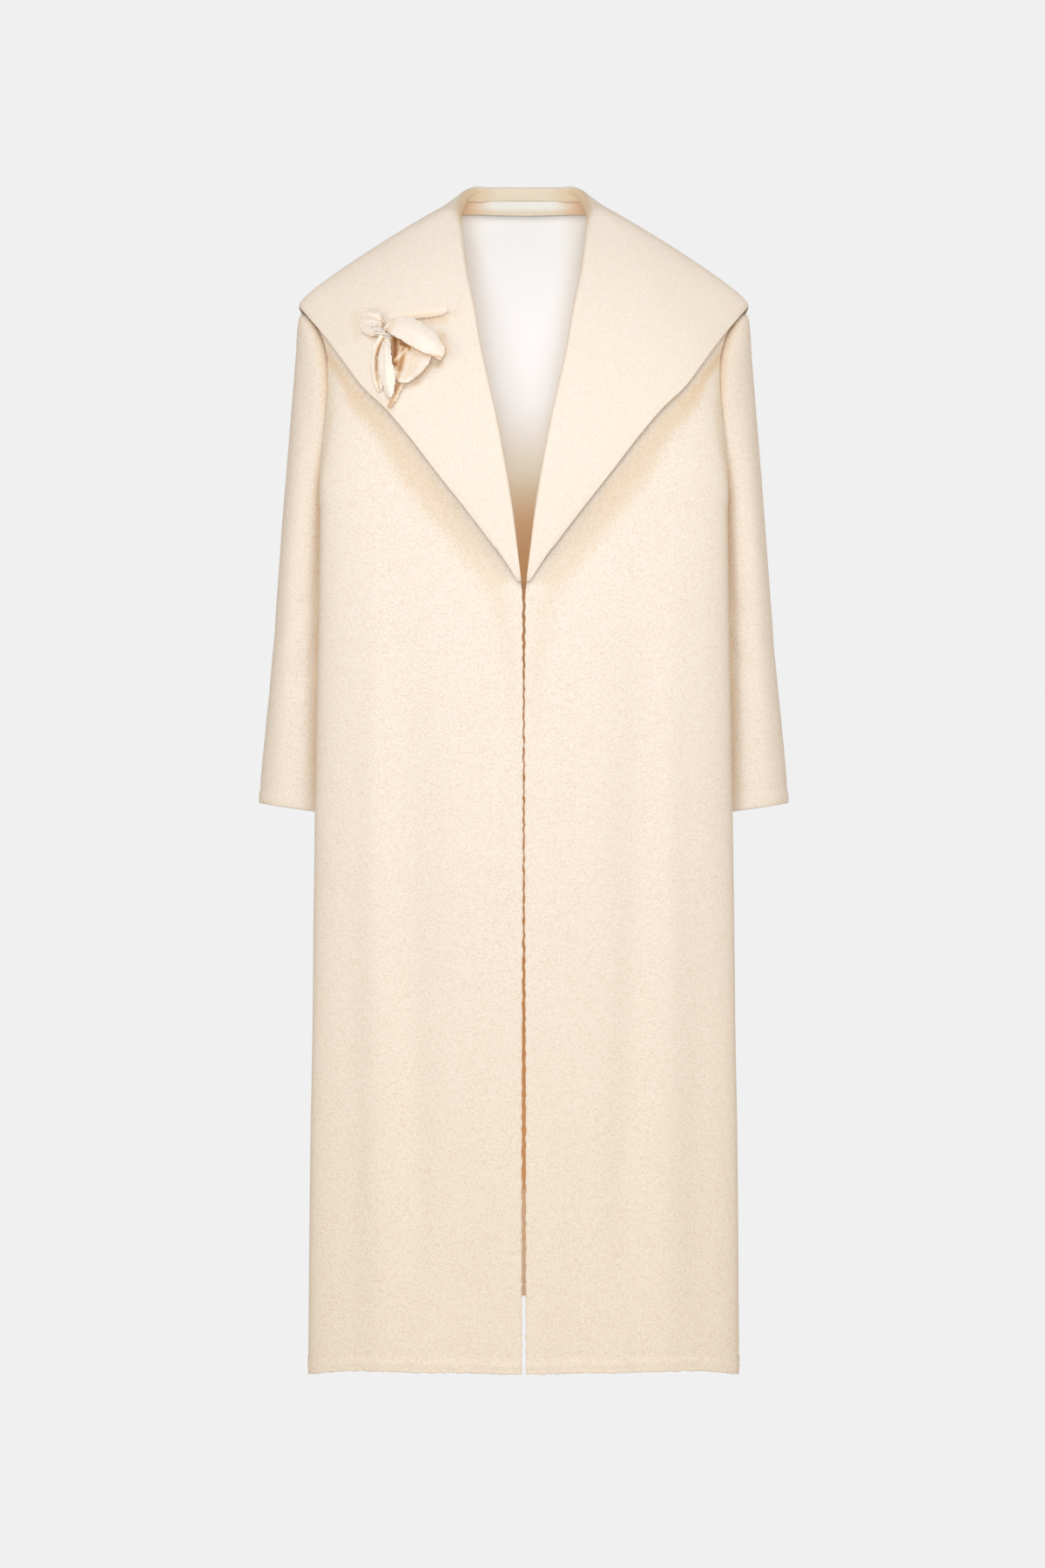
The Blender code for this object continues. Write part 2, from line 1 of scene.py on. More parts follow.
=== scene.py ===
"""Full-length wool coat, filled out and hollow, with a wide cape collar and a cloth flower.

Metres, +Z up, the coat faces -Y and the wearer's left is +X. Every cloth piece is a surface
worked out on a grid of rows and columns, with its folds laid on and a real thickness.
"""

import math

import bpy
import numpy as np
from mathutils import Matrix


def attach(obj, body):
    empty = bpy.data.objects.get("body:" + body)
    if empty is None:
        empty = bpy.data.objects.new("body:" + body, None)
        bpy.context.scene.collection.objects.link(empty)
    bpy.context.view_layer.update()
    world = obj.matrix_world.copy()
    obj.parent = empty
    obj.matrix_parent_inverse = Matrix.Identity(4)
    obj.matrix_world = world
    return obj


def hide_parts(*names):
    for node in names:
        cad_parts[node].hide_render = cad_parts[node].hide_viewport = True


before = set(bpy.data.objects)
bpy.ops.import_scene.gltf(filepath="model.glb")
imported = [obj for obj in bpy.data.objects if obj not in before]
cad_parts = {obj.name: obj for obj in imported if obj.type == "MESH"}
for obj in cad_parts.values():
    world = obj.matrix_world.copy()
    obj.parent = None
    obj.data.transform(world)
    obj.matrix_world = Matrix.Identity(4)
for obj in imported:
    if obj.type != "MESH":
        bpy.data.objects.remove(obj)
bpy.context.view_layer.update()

# ---------------------------------------------------------------- sizes

# Thickness of each cloth, and how far a piece stands back from a seam and from the armhole.
WOOL = 0.0020
CREPE = 0.0020
SATIN = 0.0010
LINING = 0.0010
PETAL = 0.0009
SEAM = 0.0003
ARMHOLE_SEAM = 0.0005

# Body: drop of the underarm; how far ahead of the middle its front lap lies, and how far behind it
# the side seam and the back lap; the powers that square each section's oval and round its tuck.
UNDERARM = 0.335
LAP_Y = 0.070
SIDE_Y = 0.018
BACK_Y = 0.085
OVAL_POWER = 0.85
TUCK_POWER = 0.7

# Neck: its side, the middle of its back, the power that squares its curve, its tilt forward, and
# the width of the strip that finishes it.
NECK_X = 0.0765
NECK_Y = 0.003
NECK_Z = -0.0150
BACK_NECK_Y = 0.0795
BACK_NECK_Z = 0.0240
NECK_POWER = 2.6
NECK_TILT = 0.21
BAND_DROP = 0.0145

# Armhole: its top and foot, its half-width, and the scoop of its front, deepest towards the top.
# SHOULDER_RISE is how far the shoulder seam arches above a straight line.
SHOULDER = np.array((0.2335, 0.004, -0.1150))
ARMPIT = np.array((0.1935, SIDE_Y, -UNDERARM))
SHOULDER_RISE = 0.012
ARMHOLE_HALF_WIDTH = 0.062
SCOOP = 0.0125
SCOOP_POWER = 2.6

# Turned hem: width of the turning and the rows' step over it, with the length that the steps are
# shares of; then the ridge and the draw-in: their height, distance up from the hem, half-width.
HEM_TURNING = 0.024
HEM_STEP = 0.0020
HEM_REACH = 0.92
HEM_RIDGE = (0.0007, 0.009, 0.0032)
HEM_DRAW = (0.0005, 0.017, 0.005)

# Lining: share of the way from the underarm to the hem where it ends, level at which it meets the
# shoulders, how far it lies inside the wool, and how much closer it comes at the neck.
LINING_FOOT = 0.86
LINING_TOP = 0.9755
LINING_OFF = 0.0015
LINING_CLOSER = 0.0011

# Shade at the lining's sides. Its outline is the front opening's as it lies over the lining when
# seen from EYE, where the camera stands: this much larger, about this drop. No lamp sets it. It is
# fixed to the cloth, so from other sides it stays where it is and fits the opening less well.
EYE_DROP = 0.626
SEEN_LARGER = 1.078

# Back above the underarm: the level below which its columns are smoothed, over how much they
# become so, and the steps of the smoothing.
SETTLE_FROM, SETTLE_OVER, SETTLE_STEPS = 0.92, 0.30, 60

# Front edges: the drop of the break, below which their yarn wavers, its height, and the least and
# most that it moves the edge.
BREAK_DROP = 0.42
EDGE_NUBS = 0.0007
EDGE_LEAST, EDGE_MOST = -0.0005, 0.0007

# Folds: how far their lines waver, how often, and how unlike from one fold to the next; then the
# power that swells them.
FOLD_WAVER = (0.02, 9, 60)
FOLD_POWER = 0.9

# Collar over the shoulder: how many rows to each side its smoothing, the moving back out of its
# edge and the straightening of its leaf reach, and the steps of the smoothing.
RIDGE_SMOOTHED, RIDGE_MOVED, RIDGE_STRAIGHT = 15.0, 11.0, 13.0
RIDGE_STEPS = 22

# Rows and columns of the grids.
BELOW, ABOVE = 224, 50
ACROSS_FRONT, TUCK_FRONT = 80, 22
ACROSS_BACK, TUCK_BACK = 66, 16
COLLAR_AHEAD, COLLAR_BEHIND = 110, 60
ROLL_COLUMNS, LEAF_COLUMNS = 14, 48
SLEEVE_ROWS, SLEEVE_AROUND = 150, 120
LINING_ROWS = 110
BAND_ROWS = 13

# Shares of the way over a rim, from the outer face to the inner, at which it has points.
RIM_STEPS = (0.18, 0.5, 0.82)

# How much of a stand's height lies above each of its columns, foot first.
STAND = (1.0, 0.75, 0.5, 0.25)

# How a half-front and a half-back differ. hem: its drop at the centre and at the lap, and the
# power by which it curves between them; close: the level by which the columns have closed in to
# the shoulder, and its power; profile: the power of the rise to the shoulder seam, its fullness at
# the centre and what that loses by the shoulder.
SHAPES = {
    "front": {"hem": (1.2353, 1.2505, 7), "close": (0.85, 0.8), "profile": (1.6, 0.85, 0.49)},
    "back": {"hem": (1.2120, 1.2380, 2), "close": (0.50, 1.0), "profile": (2, 0.75, 0.36)},
}
HEM_SIDE = 1.2575

# Sections of the body below the arm, by drop from the neck.
BODY_COLUMNS = ("drop", "front", "lap", "side", "back_lap", "back")
BODY = np.array((
    (0.335, 0.138, 0.2165, 0.1935, 0.1965, 0.116),
    (0.420, 0.145, 0.2178, 0.1900, 0.1975, 0.121),
    (0.540, 0.148, 0.2200, 0.1890, 0.2000, 0.126),
    (0.640, 0.149, 0.2216, 0.1885, 0.2030, 0.130),
    (0.666, 0.149, 0.2220, 0.1895, 0.2045, 0.131),
    (0.705, 0.150, 0.2224, 0.2050, 0.2100, 0.133),
    (0.770, 0.150, 0.2232, 0.2215, 0.2160, 0.135),
    (0.880, 0.151, 0.2242, 0.2264, 0.2195, 0.139),
    (1.000, 0.152, 0.2268, 0.2302, 0.2220, 0.144),
    (1.130, 0.154, 0.2288, 0.2325, 0.2245, 0.149),
    (1.265, 0.156, 0.2300, 0.2340, 0.2270, 0.154),
))

# Front edge: drop, and half-width of the opening between the two fronts.
EDGE = np.array((
    (0.005, 0.0765),
    (0.035, 0.0745),
    (0.082, 0.0685),
    (0.126, 0.0590),
    (0.168, 0.0519),
    (0.208, 0.0431),
    (0.246, 0.0348),
    (0.306, 0.0239),
    (0.349, 0.0170),
    (0.385, 0.0105),
    (0.414, 0.0036),
    (0.426, 0.0017),
    (0.445, 0.0013),
    (0.480, 0.0012),
    (0.520, 0.0008),
    (0.640, 0.0007),
    (0.760, 0.0009),
    (0.900, 0.0017),
    (1.150, 0.0020),
    (1.270, 0.0022),
))

# Collar, from the break of the front to the shoulder, then round to the centre back: x, y and z of
# the roll line, x, y and z of the outer edge, how far the leaf between them bellies out, the
# height of the stand, and the radius of the roll.
COLLAR_FRONT = np.array((
    (0.0030, -0.1488, -0.4140, 0.0056, -0.1500, -0.4180, 0.000, 0.0006, 0.0030),
    (0.0064, -0.1490, -0.3850, 0.0145, -0.1518, -0.4046, 0.001, 0.0006, 0.0034),
    (0.0104, -0.1480, -0.3490, 0.0322, -0.1530, -0.3794, 0.002, 0.0006, 0.0036),
    (0.0167, -0.1435, -0.3063, 0.0592, -0.1490, -0.3434, 0.003, 0.0006, 0.0036),
    (0.0276, -0.1340, -0.2460, 0.0914, -0.1425, -0.3020, 0.004, 0.0006, 0.0036),
    (0.0359, -0.1235, -0.2075, 0.1225, -0.1310, -0.2608, 0.005, 0.0006, 0.0036),
    (0.0443, -0.1090, -0.1680, 0.1457, -0.1190, -0.2328, 0.007, 0.0006, 0.0038),
    (0.0511, -0.0890, -0.1260, 0.1693, -0.1050, -0.2090, 0.010, 0.0006, 0.0040),
    (0.0599, -0.0620, -0.0817, 0.1920, -0.0835, -0.1776, 0.014, 0.0006, 0.0044),
    (0.0660, -0.0300, -0.0370, 0.2162, -0.0515, -0.1434, 0.019, 0.0006, 0.0052),
    (0.0680, -0.0130, -0.0185, 0.2310, -0.0290, -0.1246, 0.022, 0.0006, 0.0056),
    (0.0688, 0.0030, -0.0020, 0.2465, 0.0040, -0.1035, 0.0228, 0.0006, 0.0060),
))
COLLAR_BACK = np.array((
    (0.0688, 0.0030, -0.0020, 0.2465, 0.0040, -0.1035, 0.0228, 0.0006, 0.0060),
    (0.0656, 0.0320, 0.0167, 0.2280, 0.0640, -0.1330, 0.032, 0.0006, 0.0060),
    (0.0630, 0.0440, 0.0258, 0.2130, 0.0850, -0.1440, 0.032, 0.0006, 0.0055),
    (0.0600, 0.0510, 0.0309, 0.2050, 0.0950, -0.1490, 0.031, 0.0010, 0.0052),
    (0.0556, 0.0580, 0.0350, 0.1950, 0.1030, -0.1530, 0.030, 0.0072, 0.0050),
    (0.0380, 0.0735, 0.0394, 0.1400, 0.1290, -0.1650, 0.024, 0.0107, 0.0045),
    (0.0190, 0.0795, 0.0409, 0.0720, 0.1410, -0.1700, 0.020, 0.0107, 0.0045),
    (0.0000, 0.0815, 0.0411, 0.0000, 0.1450, -0.1715, 0.020, 0.0107, 0.0045),
))

# Sleeve, by section from the armhole to the cuff: x and z of its outer line, x and z of its inner
# line, y of its middle, and half its depth. The sections are even steps apart along the tube.
SLEEVE = np.array((
    (0.2335, -0.1150, 0.1935, -0.3350, 0.011, 0.0620),
    (0.2436, -0.1150, 0.1945, -0.3375, 0.011, 0.0618),
    (0.2470, -0.1300, 0.1948, -0.3390, 0.012, 0.0616),
    (0.2492, -0.1620, 0.1950, -0.3405, 0.014, 0.0612),
    (0.2535, -0.2100, 0.1952, -0.3430, 0.017, 0.0605),
    (0.2586, -0.2700, 0.1953, -0.3480, 0.020, 0.0598),
    (0.2641, -0.3340, 0.1953, -0.3600, 0.022, 0.0592),
    (0.2697, -0.4000, 0.1952, -0.4080, 0.023, 0.0590),
    (0.2764, -0.4800, 0.1951, -0.4850, 0.024, 0.0590),
    (0.2832, -0.5610, 0.1951, -0.5700, 0.024, 0.0592),
    (0.2905, -0.6465, 0.1955, -0.6600, 0.024, 0.0595),
))

# Columns of a half-back and a half-front: the angle round the body below the arm, and where that
# comes to at the top: metres from the centre for the back, a share of the shoulder for the front.
BACK = np.array((
    (0.0, 0.0),
    (9.0, 0.0200),
    (18.0, 0.0390),
    (26.0, 0.0570),
    (31.0, 0.0690),
    (35.0, 0.0765),
    (45.0, 0.1000),
    (57.0, 0.1330),
    (72.0, 0.1750),
    (90.0, 0.2190),
))
FRONT = np.array((
    (0.0, 0.0),
    (12.0, 0.15),
    (24.0, 0.30),
    (37.0, 0.46),
    (51.0, 0.62),
    (68.0, 0.78),
    (90.0, 0.92),
))

# Soft folds of each panel: distance round the panel from the centre line at the fold's top and
# bottom, drop of its top and bottom, half-width at its top and bottom, and depth: + out, - in.
FOLDS = {
    "front_left": (
        (0.125, 0.108, 0.34, 1.34, 0.020, 0.028, -0.0036),
        (0.118, 0.100, 0.70, 1.20, 0.012, 0.018, -0.0030),
        (0.156, 0.148, 0.38, 1.34, 0.014, 0.018, 0.0024),
        (0.190, 0.186, 0.70, 1.38, 0.016, 0.024, -0.0026),
        (0.012, 0.044, 0.42, 0.72, 0.010, 0.020, -0.0020),
        (0.066, 0.070, 0.40, 0.86, 0.030, 0.034, 0.0030),
        (0.050, 0.066, 0.98, 1.46, 0.014, 0.040, -0.0046),
        (0.090, 0.110, 1.10, 1.46, 0.012, 0.022, 0.0026),
        (0.232, 0.236, 0.66, 1.44, 0.016, 0.022, 0.0024),
        (0.275, 0.262, 0.70, 1.40, 0.016, 0.022, -0.0034),
    ),
    "front_right": (
        (0.128, 0.104, 0.36, 1.30, 0.022, 0.026, -0.0034),
        (0.120, 0.110, 0.72, 1.24, 0.013, 0.017, -0.0032),
        (0.158, 0.155, 0.36, 1.36, 0.013, 0.019, 0.0025),
        (0.186, 0.180, 0.68, 1.34, 0.017, 0.022, -0.0025),
        (0.012, 0.040, 0.42, 0.70, 0.010, 0.018, -0.0022),
        (0.062, 0.072, 0.40, 0.84, 0.028, 0.036, 0.0028),
        (0.052, 0.074, 1.00, 1.46, 0.016, 0.042, -0.0048),
        (0.096, 0.118, 1.06, 1.44, 0.013, 0.024, 0.0024),
        (0.228, 0.238, 0.70, 1.44, 0.017, 0.020, 0.0022),
        (0.272, 0.268, 0.72, 1.36, 0.015, 0.024, -0.0032),
    ),
    "back": (
        (0.052, 0.078, 0.20, 1.34, 0.020, 0.034, -0.0044),
        (0.112, 0.150, 0.24, 1.40, 0.018, 0.030, 0.0036),
        (0.168, 0.190, 0.30, 1.36, 0.016, 0.026, -0.0050),
        (-0.046, -0.070, 0.22, 1.38, 0.021, 0.032, -0.0048),
        (-0.120, -0.142, 0.20, 1.30, 0.017, 0.032, 0.0034),
        (-0.172, -0.200, 0.34, 1.42, 0.018, 0.024, -0.0046),
        (0.006, 0.012, 0.62, 1.44, 0.018, 0.030, 0.0036),
        (0.215, 0.226, 0.70, 1.44, 0.014, 0.022, 0.0030),
        (-0.222, -0.232, 0.66, 1.40, 0.015, 0.021, 0.0028),
        (0.100, 0.104, 0.92, 1.46, 0.014, 0.026, -0.0034),
        (-0.104, -0.100, 0.86, 1.44, 0.013, 0.028, -0.0036),
    ),
}

# How much of the armhole's lean, and of its scoop, each section of the sleeve still has.
SLEEVE_LEAN = (1.0, 0.8, 0.5, 0.2, 0.0)
SLEEVE_SCOOP = (1.0, 0.85, 0.6, 0.3, 0.1, 0.0)

# The sleeve laid flat, for placing its creases: metres to a radian round it, and its length.
SLEEVE_FLAT = np.array((0.05, 0.46))

# Soft creases of each sleeve: degrees round from the outer line through the front, at both ends
# of the crease; share of the way from shoulder to cuff, at both ends; half-width, and depth.
CREASES = {
    "sleeve_left": (
        (20.0, 120.0, 0.60, 0.49, 0.020, -0.0026),
        (30.0, 128.0, 0.70, 0.60, 0.018, -0.0020),
        (-120.0, -20.0, 0.56, 0.66, 0.019, -0.0024),
        (60.0, 66.0, 0.12, 0.90, 0.016, 0.0018),
        (96.0, 88.0, 0.20, 0.96, 0.015, -0.0020),
        (-70.0, -78.0, 0.10, 0.95, 0.020, -0.0024),
        (-104.0, -96.0, 0.36, 1.02, 0.015, 0.0016),
        (10.0, 4.0, 0.30, 0.80, 0.017, -0.0012),
        (116.0, 114.0, 0.14, 1.04, 0.013, -0.0085),
    ),
    "sleeve_right": (
        (16.0, 116.0, 0.57, 0.47, 0.019, -0.0024),
        (26.0, 124.0, 0.72, 0.63, 0.019, -0.0022),
        (-116.0, -24.0, 0.60, 0.68, 0.018, -0.0022),
        (56.0, 62.0, 0.16, 0.94, 0.017, 0.0017),
        (92.0, 84.0, 0.24, 0.98, 0.016, -0.0021),
        (-66.0, -74.0, 0.14, 0.92, 0.019, -0.0022),
        (-100.0, -94.0, 0.32, 1.00, 0.016, 0.0015),
        (6.0, 10.0, 0.36, 0.84, 0.016, -0.0012),
        (115.0, 116.0, 0.12, 1.04, 0.013, -0.0080),
    ),
}

# Flower, in millimetres from its knot, by section along each piece: across and up of its left
# edge and of its right edge as seen from the front, how far the left edge and the right edge lift
# off the collar, and the dome between them.
FLOWER = {
    "petal_domed": (
        (6.0, 6, 5, 0, 9, 8, 0.5),
        (11.5, 14.5, 10.5, -5.5, 10, 13, 2),
        (22, 17.5, 24, -14.5, 11, 16, 4.5),
        (36, 12.5, 38, -24, 11, 18, 6),
        (50, 1.5, 48, -28.5, 11, 17, 5.5),
        (59.5, -9.5, 55, -31.5, 11, 15, 4),
        (64.8, -20, 58.5, -34.5, 10, 13, 2.5),
        (65.5, -27.5, 61.5, -34.5, 11, 11.5, 0.6),
    ),
    "petal_cupped": (
        (6, -2, 28, -8, 3, 7, -1),
        (7.5, -14, 40, -17, 3, 9, -2),
        (9, -26, 48.5, -26, 3, 11, -3),
        (10.5, -37, 51, -32, 4, 12, -3),
        (12.5, -46, 44.5, -43, 5, 12, -2),
        (15, -53.5, 36, -52, 6, 12, -1),
        (18.5, -57.5, 27, -58, 7, 9, 0.5),
    ),
    "leaf_middle": (
        (2, -4, 8, -6, 8, 8, 1),
        (-2.6, -17, 8.6, -17, 7, 9, 3),
        (-5.4, -30, 9.6, -30, 6, 9.5, 3.5),
        (-4.6, -43, 12.4, -42, 6, 9.5, 3.5),
        (-1.4, -54, 14.0, -53, 5, 9, 3),
        (1.4, -62.5, 13.4, -62, 4, 7, 2.4),
        (4.2, -69, 11.6, -69.5, 3, 5, 1.6),
        (6.6, -72.5, 9.2, -73.2, 2.6, 3.4, 0.8),
    ),
    "leaf_left": (
        (-3.5, -2.5, 3, -5, 7, 4, 1),
        (-10, -14, 0, -15, 5.5, 2.2, 0.8),
        (-12.4, -28, -2, -27, 5, 1.8, 0.6),
        (-12, -41, -1.5, -40, 4.5, 1.8, 0.6),
        (-10.8, -50, -0.2, -49, 4, 1.8, 0.5),
        (-8.8, -57.5, 0.6, -56.5, 3, 1.8, 0.4),
        (-6.4, -62.5, 0.0, -61.5, 2.4, 1.8, 0.3),
        (-4.2, -66, -1.6, -65.4, 2.0, 1.6, 0.2),
    ),
    "leaf_flat": (
        (3, 19, 9, 12, 1.6, 2.6, 0.2),
        (13, 25.5, 20, 14, 1.3, 2.2, 0.4),
        (25, 29, 32, 15, 1.2, 2.0, 0.6),
        (41, 30, 46, 16, 1.2, 1.8, 0.6),
        (54, 29.5, 57, 17.5, 1.2, 1.6, 0.3),
        (63, 28.5, 64.5, 20, 1.2, 1.4, 0.1),
        (67.5, 27, 68, 23, 1.2, 1.3, 0.1),
    ),
    "tuft": (
        (-14, -3.0, -5, -3, 2.4, 4.6, 1),
        (-23, 2.5, -2.5, 3, 1.8, 5.6, 2.4),
        (-27, 11, -1.0, 10, 1.6, 5.4, 3.6),
        (-26, 19.5, -1.5, 18, 1.6, 4.6, 3.6),
        (-21, 25.5, -4, 24.5, 1.6, 3.4, 2.2),
        (-15, 28.5, -9, 28, 1.6, 2.4, 0.8),
    ),
    "twist": (
        (0, 2.5, 6.5, 1.5, 4, 5, 0.5),
        (0.5, 7, 8.5, 6, 3.5, 6, 1.5),
        (3, 12, 11, 10.5, 3.5, 5.5, 1.5),
        (5.5, 16.5, 11.5, 15, 3, 4, 0.5),
    ),
    # The stem is a strip put where a brown shadow runs down from the cup's foot; painted shade browns
    # it.
    "stem": (
        (15, -54, 22.5, -57.2, 3.4, 3.2, 0.4),
        (12.2, -65, 19.4, -67, 2.8, 2.4, 0.5),
        (8.6, -74, 14.2, -76, 2.4, 2.2, 0.4),
        (5.4, -81.5, 9.4, -83.5, 2.2, 2.0, 0.3),
    ),
}
KNOT = {"x": -0.1480, "z": -0.1500}
LEAST_LIFT = 1.3

# Pleats of each flower piece, then its painted shade: shadowed places, and lit places where the
# shade is taken back: a line from one point to another, in the same millimetres, its half-width,
# and its height or its depth of shade.
PLEATS = {
    "petal_domed": (
        (20, 6, 56, -16, 5.0, 0.8),
        (9, 3, 30, -10, 2.4, -0.7),
        (26, 12, 52, -4, 2.6, 0.4),
        (50, -27, 62, -26, 2.0, 1.2),
    ),
    "petal_cupped": (
        (24, -12, 12, -31, 2.2, 2.4),
        (29, -19, 18, -47, 3.0, -1.6),
        (35, -22, 25, -52, 3.0, 0.9),
        (44, -28, 32, -50, 3.4, 0.6),
    ),
    "leaf_middle": (
        (4, -8, 3, -60, 2.6, 1.2),
        (0, -16, 2, -54, 2.0, -0.8),
        (7, -14, 9, -56, 2.0, -0.7),
        (6, -58, 8, -70, 2.0, 0.8),
    ),
    "leaf_left": ((-9, -10, -9.5, -50, 1.6, 0.9),),
    "leaf_flat": ((16, 21, 60, 26, 3.0, 0.4),),
    "tuft": (
        (-22, 5, -5, 3, 2.2, 1.8),
        (-25, 13, -4, 7, 1.8, -1.5),
        (-24, 17, -5, 12, 1.8, 1.6),
        (-21, 23, -3, 15, 1.6, -1.3),
        (-17, 26, -5, 20, 1.8, 1.4),
    ),
    "twist": (
        (1, 5, 9, 14, 1.5, 1.6),
        (5, 3, 10, 9, 1.2, -1.2),
    ),
    "stem": ((18, -60, 8, -81, 1.6, 0.5),),
}
SHADES = {
    "petal_domed": (
        (8, 1, 13, 13, 1.4, 0.20),
        (12, -6, 44, -27, 1.2, 0.10),
        (51, -30.8, 61, -31.2, 1.7, 0.56),
        (55, -33.5, 61, -33.8, 1.2, 0.34),
    ),
    # Painted shade: the cup's dark hollow and the shadow under the domed petal's edge, lit folds
    # taken back.
    "petal_cupped": (
        (12.5, -8, 13, -36, 5.6, 0.97),
        (18, -8, 28, -15, 4.4, 0.94),
        (19, -13, 27, -18.5, 3.8, 0.97),
        (22, -20, 18, -42, 4.2, 0.84),
        (18, -38, 16, -52, 3.0, 0.52),
        (34, -24, 28, -46, 10.0, 0.22),
        (27, -15, 48, -28, 3.2, 0.42),
        (25.5, -19, 13, -32, 1.7, -0.46),
        (30, -25, 23, -48, 1.8, -0.16),
        (27, -56, 50, -33, 1.4, -0.16),
    ),
    "leaf_middle": (
        (0, -6, 7, -9, 1.4, 0.34),
        (9, -10, 10, -28, 0.9, 0.24),
        (-4.4, -24, -4.4, -42, 1.0, 0.14),
        (1.5, -11, 4, -13, 0.9, 0.34),
    ),
    # Painted shade: the left leaf reaches in under the middle leaf, and its inner half is darkened as
    # the gap.
    "leaf_left": (
        (1, -7, -4.2, -16, 2.2, 0.82),
        (-4.2, -16, -7.2, -28, 2.1, 0.90),
        (-7.2, -28, -6.8, -42, 2.1, 0.84),
        (-6.8, -42, -5.4, -53, 2.2, 0.66),
        (-5.4, -53, -3.6, -63, 1.8, 0.38),
    ),
    "leaf_flat": (
        (5, 17, 70, 28, 9.0, 0.10),
        (12, 13, 62, 17, 6.0, 0.36),
    ),
    "tuft": (
        (-5, -2, -15, -2, 1.8, 0.22),
        (-1.5, 6, -2.5, 19, 1.8, 0.42),
        (-24, 12, -6, 7, 1.5, 0.16),
        (-20, 21, -5, 15, 1.3, 0.14),
    ),
    "twist": (
        (6, 3, 12, 14, 2.4, 0.66),
        (3, 4, 7, 2, 1.6, 0.60),
        (2, 10, 5, 15, 1.0, 0.20),
    ),
    # Painted shade that browns the whole stem.
    "stem": (
        (18, -56, 13, -68, 4.4, 0.80),
        (13, -68, 8, -82, 4.0, 0.66),
    ),
}
# Shade on the fronts beside the opening, below the break, in metres from the centre line.
BREAK_SHADE = (
    (0.030, -0.425, 0.021, -0.450, 0.010, 0.105),
    (0.021, -0.450, 0.013, -0.510, 0.009, 0.075),
    (0.013, -0.510, 0.012, -0.560, 0.009, 0.040),
)
# Shade that the flower lays on the collar.
COLLAR_SHADE = (
    (61, -5, 66, -25, 5.0, 0.36),
    (26, 13, 64, 15, 5.0, 0.36),
    (56, 18, 78, 22, 4.0, 0.14),
    (0, 8, 12, 6, 4.0, 0.40),
    (-2, -4, 8, -14, 5.0, 0.55),
    (-16, -3, -6, -6, 3.0, 0.30),
    (-30, 24, -28, 0, 6.0, 0.14),
    (-22, 31, 0, 31, 3.0, 0.08),
    (40, -52, 54, -36, 2.6, 0.30),
    (24, -61, 40, -55, 2.4, 0.34),
    (51, -36, 61, -37, 2.2, 0.46),
    (16, -60, 8, -84, 4.6, 0.26),
    (-10, -62, 4, -84, 3.0, 0.08),
)

# ---------------------------------------------------------------- surfaces


def through(table, column, x):
    """Smooth curve through one column of a table, by its first column.

    Between two rows it is the cubic with their values and the mean slopes of their neighbours.
    """
    xs = table[:, 0]
    ys = table[:, column]
    x = np.clip(np.asarray(x, float), xs[0], xs[-1])
    slope = np.gradient(ys, xs)
    i = np.clip(np.searchsorted(xs, x) - 1, 0, len(xs) - 2)
    h = xs[i + 1] - xs[i]
    t = (x - xs[i]) / h
    first = (1 + 2 * t) * (1 - t) ** 2 * ys[i] + t * (1 - t) ** 2 * h * slope[i]
    second = t * t * (3 - 2 * t) * ys[i + 1] - t * t * (1 - t) * h * slope[i + 1]
    return first + second


def size(name, drop):
    """One named size of the body's section at a drop."""
    return through(BODY, BODY_COLUMNS.index(name), drop)


def half_gap(drop):
    """Half-width of the front opening at a drop."""
    return through(EDGE, 1, drop)


def keyed(table):
    """The table with a first column that counts its rows from 0."""
    return np.concatenate((np.arange(len(table), dtype=float)[:, None], table), 1)


def unit(v):
    """Each vector divided by its own length."""
    return v / np.maximum(np.linalg.norm(v, axis=-1, keepdims=True), 1e-12)


def ease(t):
    """0 to 1 with level ends: three times the square less twice the cube."""
    t = np.clip(t, 0, 1)
    return t * t * (3 - 2 * t)


def bell(t):
    """1 at zero, falling away on both sides: e to the minus t squared."""
    return np.exp(-t * t)


def strokes(lines, across, up, join=np.add):
    """Bells across short lines, added together or the greatest kept."""
    total = np.zeros(np.broadcast(across, up).shape)
    for x_a, z_a, x_b, z_b, width, height in lines:
        step = np.array((x_b - x_a, z_b - z_a), float)
        t = np.clip(((across - x_a) * step[0] + (up - z_a) * step[1]) / (step @ step), 0, 1)
        away = np.hypot(across - x_a - t * step[0], up - z_a - t * step[1])
        total = join(total, height * bell(away / width))
    return total


def normals(grid):
    """Unit normals of a grid: the cross product of its steps across and its steps along."""
    return unit(np.cross(np.gradient(grid, axis=1), np.gradient(grid, axis=0)))


def facing(out, row, column, way):
    """The normals, all turned round if the one at a row and column points against a way."""
    return -out if out[row, column] @ np.array(way) < 0 else out


def smoothed(values, steps):
    """Each row becomes the mean of its neighbours, a few times over, with the ends held."""
    values = values.copy()
    for _ in range(steps):
        values[1:-1] = (values[:-2] + 2 * values[1:-1] + values[2:]) / 4
    return values


def nubs(along, seed, height=0.00045, waves=7):
    """Uneven yarn edge: sine waves 4 to 24 mm long, added together."""
    rng = np.random.default_rng(seed)
    wave = rng.uniform(0.004, 0.024, waves)
    phase = rng.uniform(0, 2 * math.pi, waves)
    return np.sin(along[..., None] / wave * 2 * math.pi + phase).sum(-1) * height / 2.6


def run(grid, axis):
    """Distance along a grid's rows or columns from the first point of each."""
    step = np.linalg.norm(np.diff(grid, axis=axis), axis=-1)
    return np.pad(np.cumsum(step, axis), ((0, 0), (1, 0)) if axis else ((1, 0), (0, 0)))


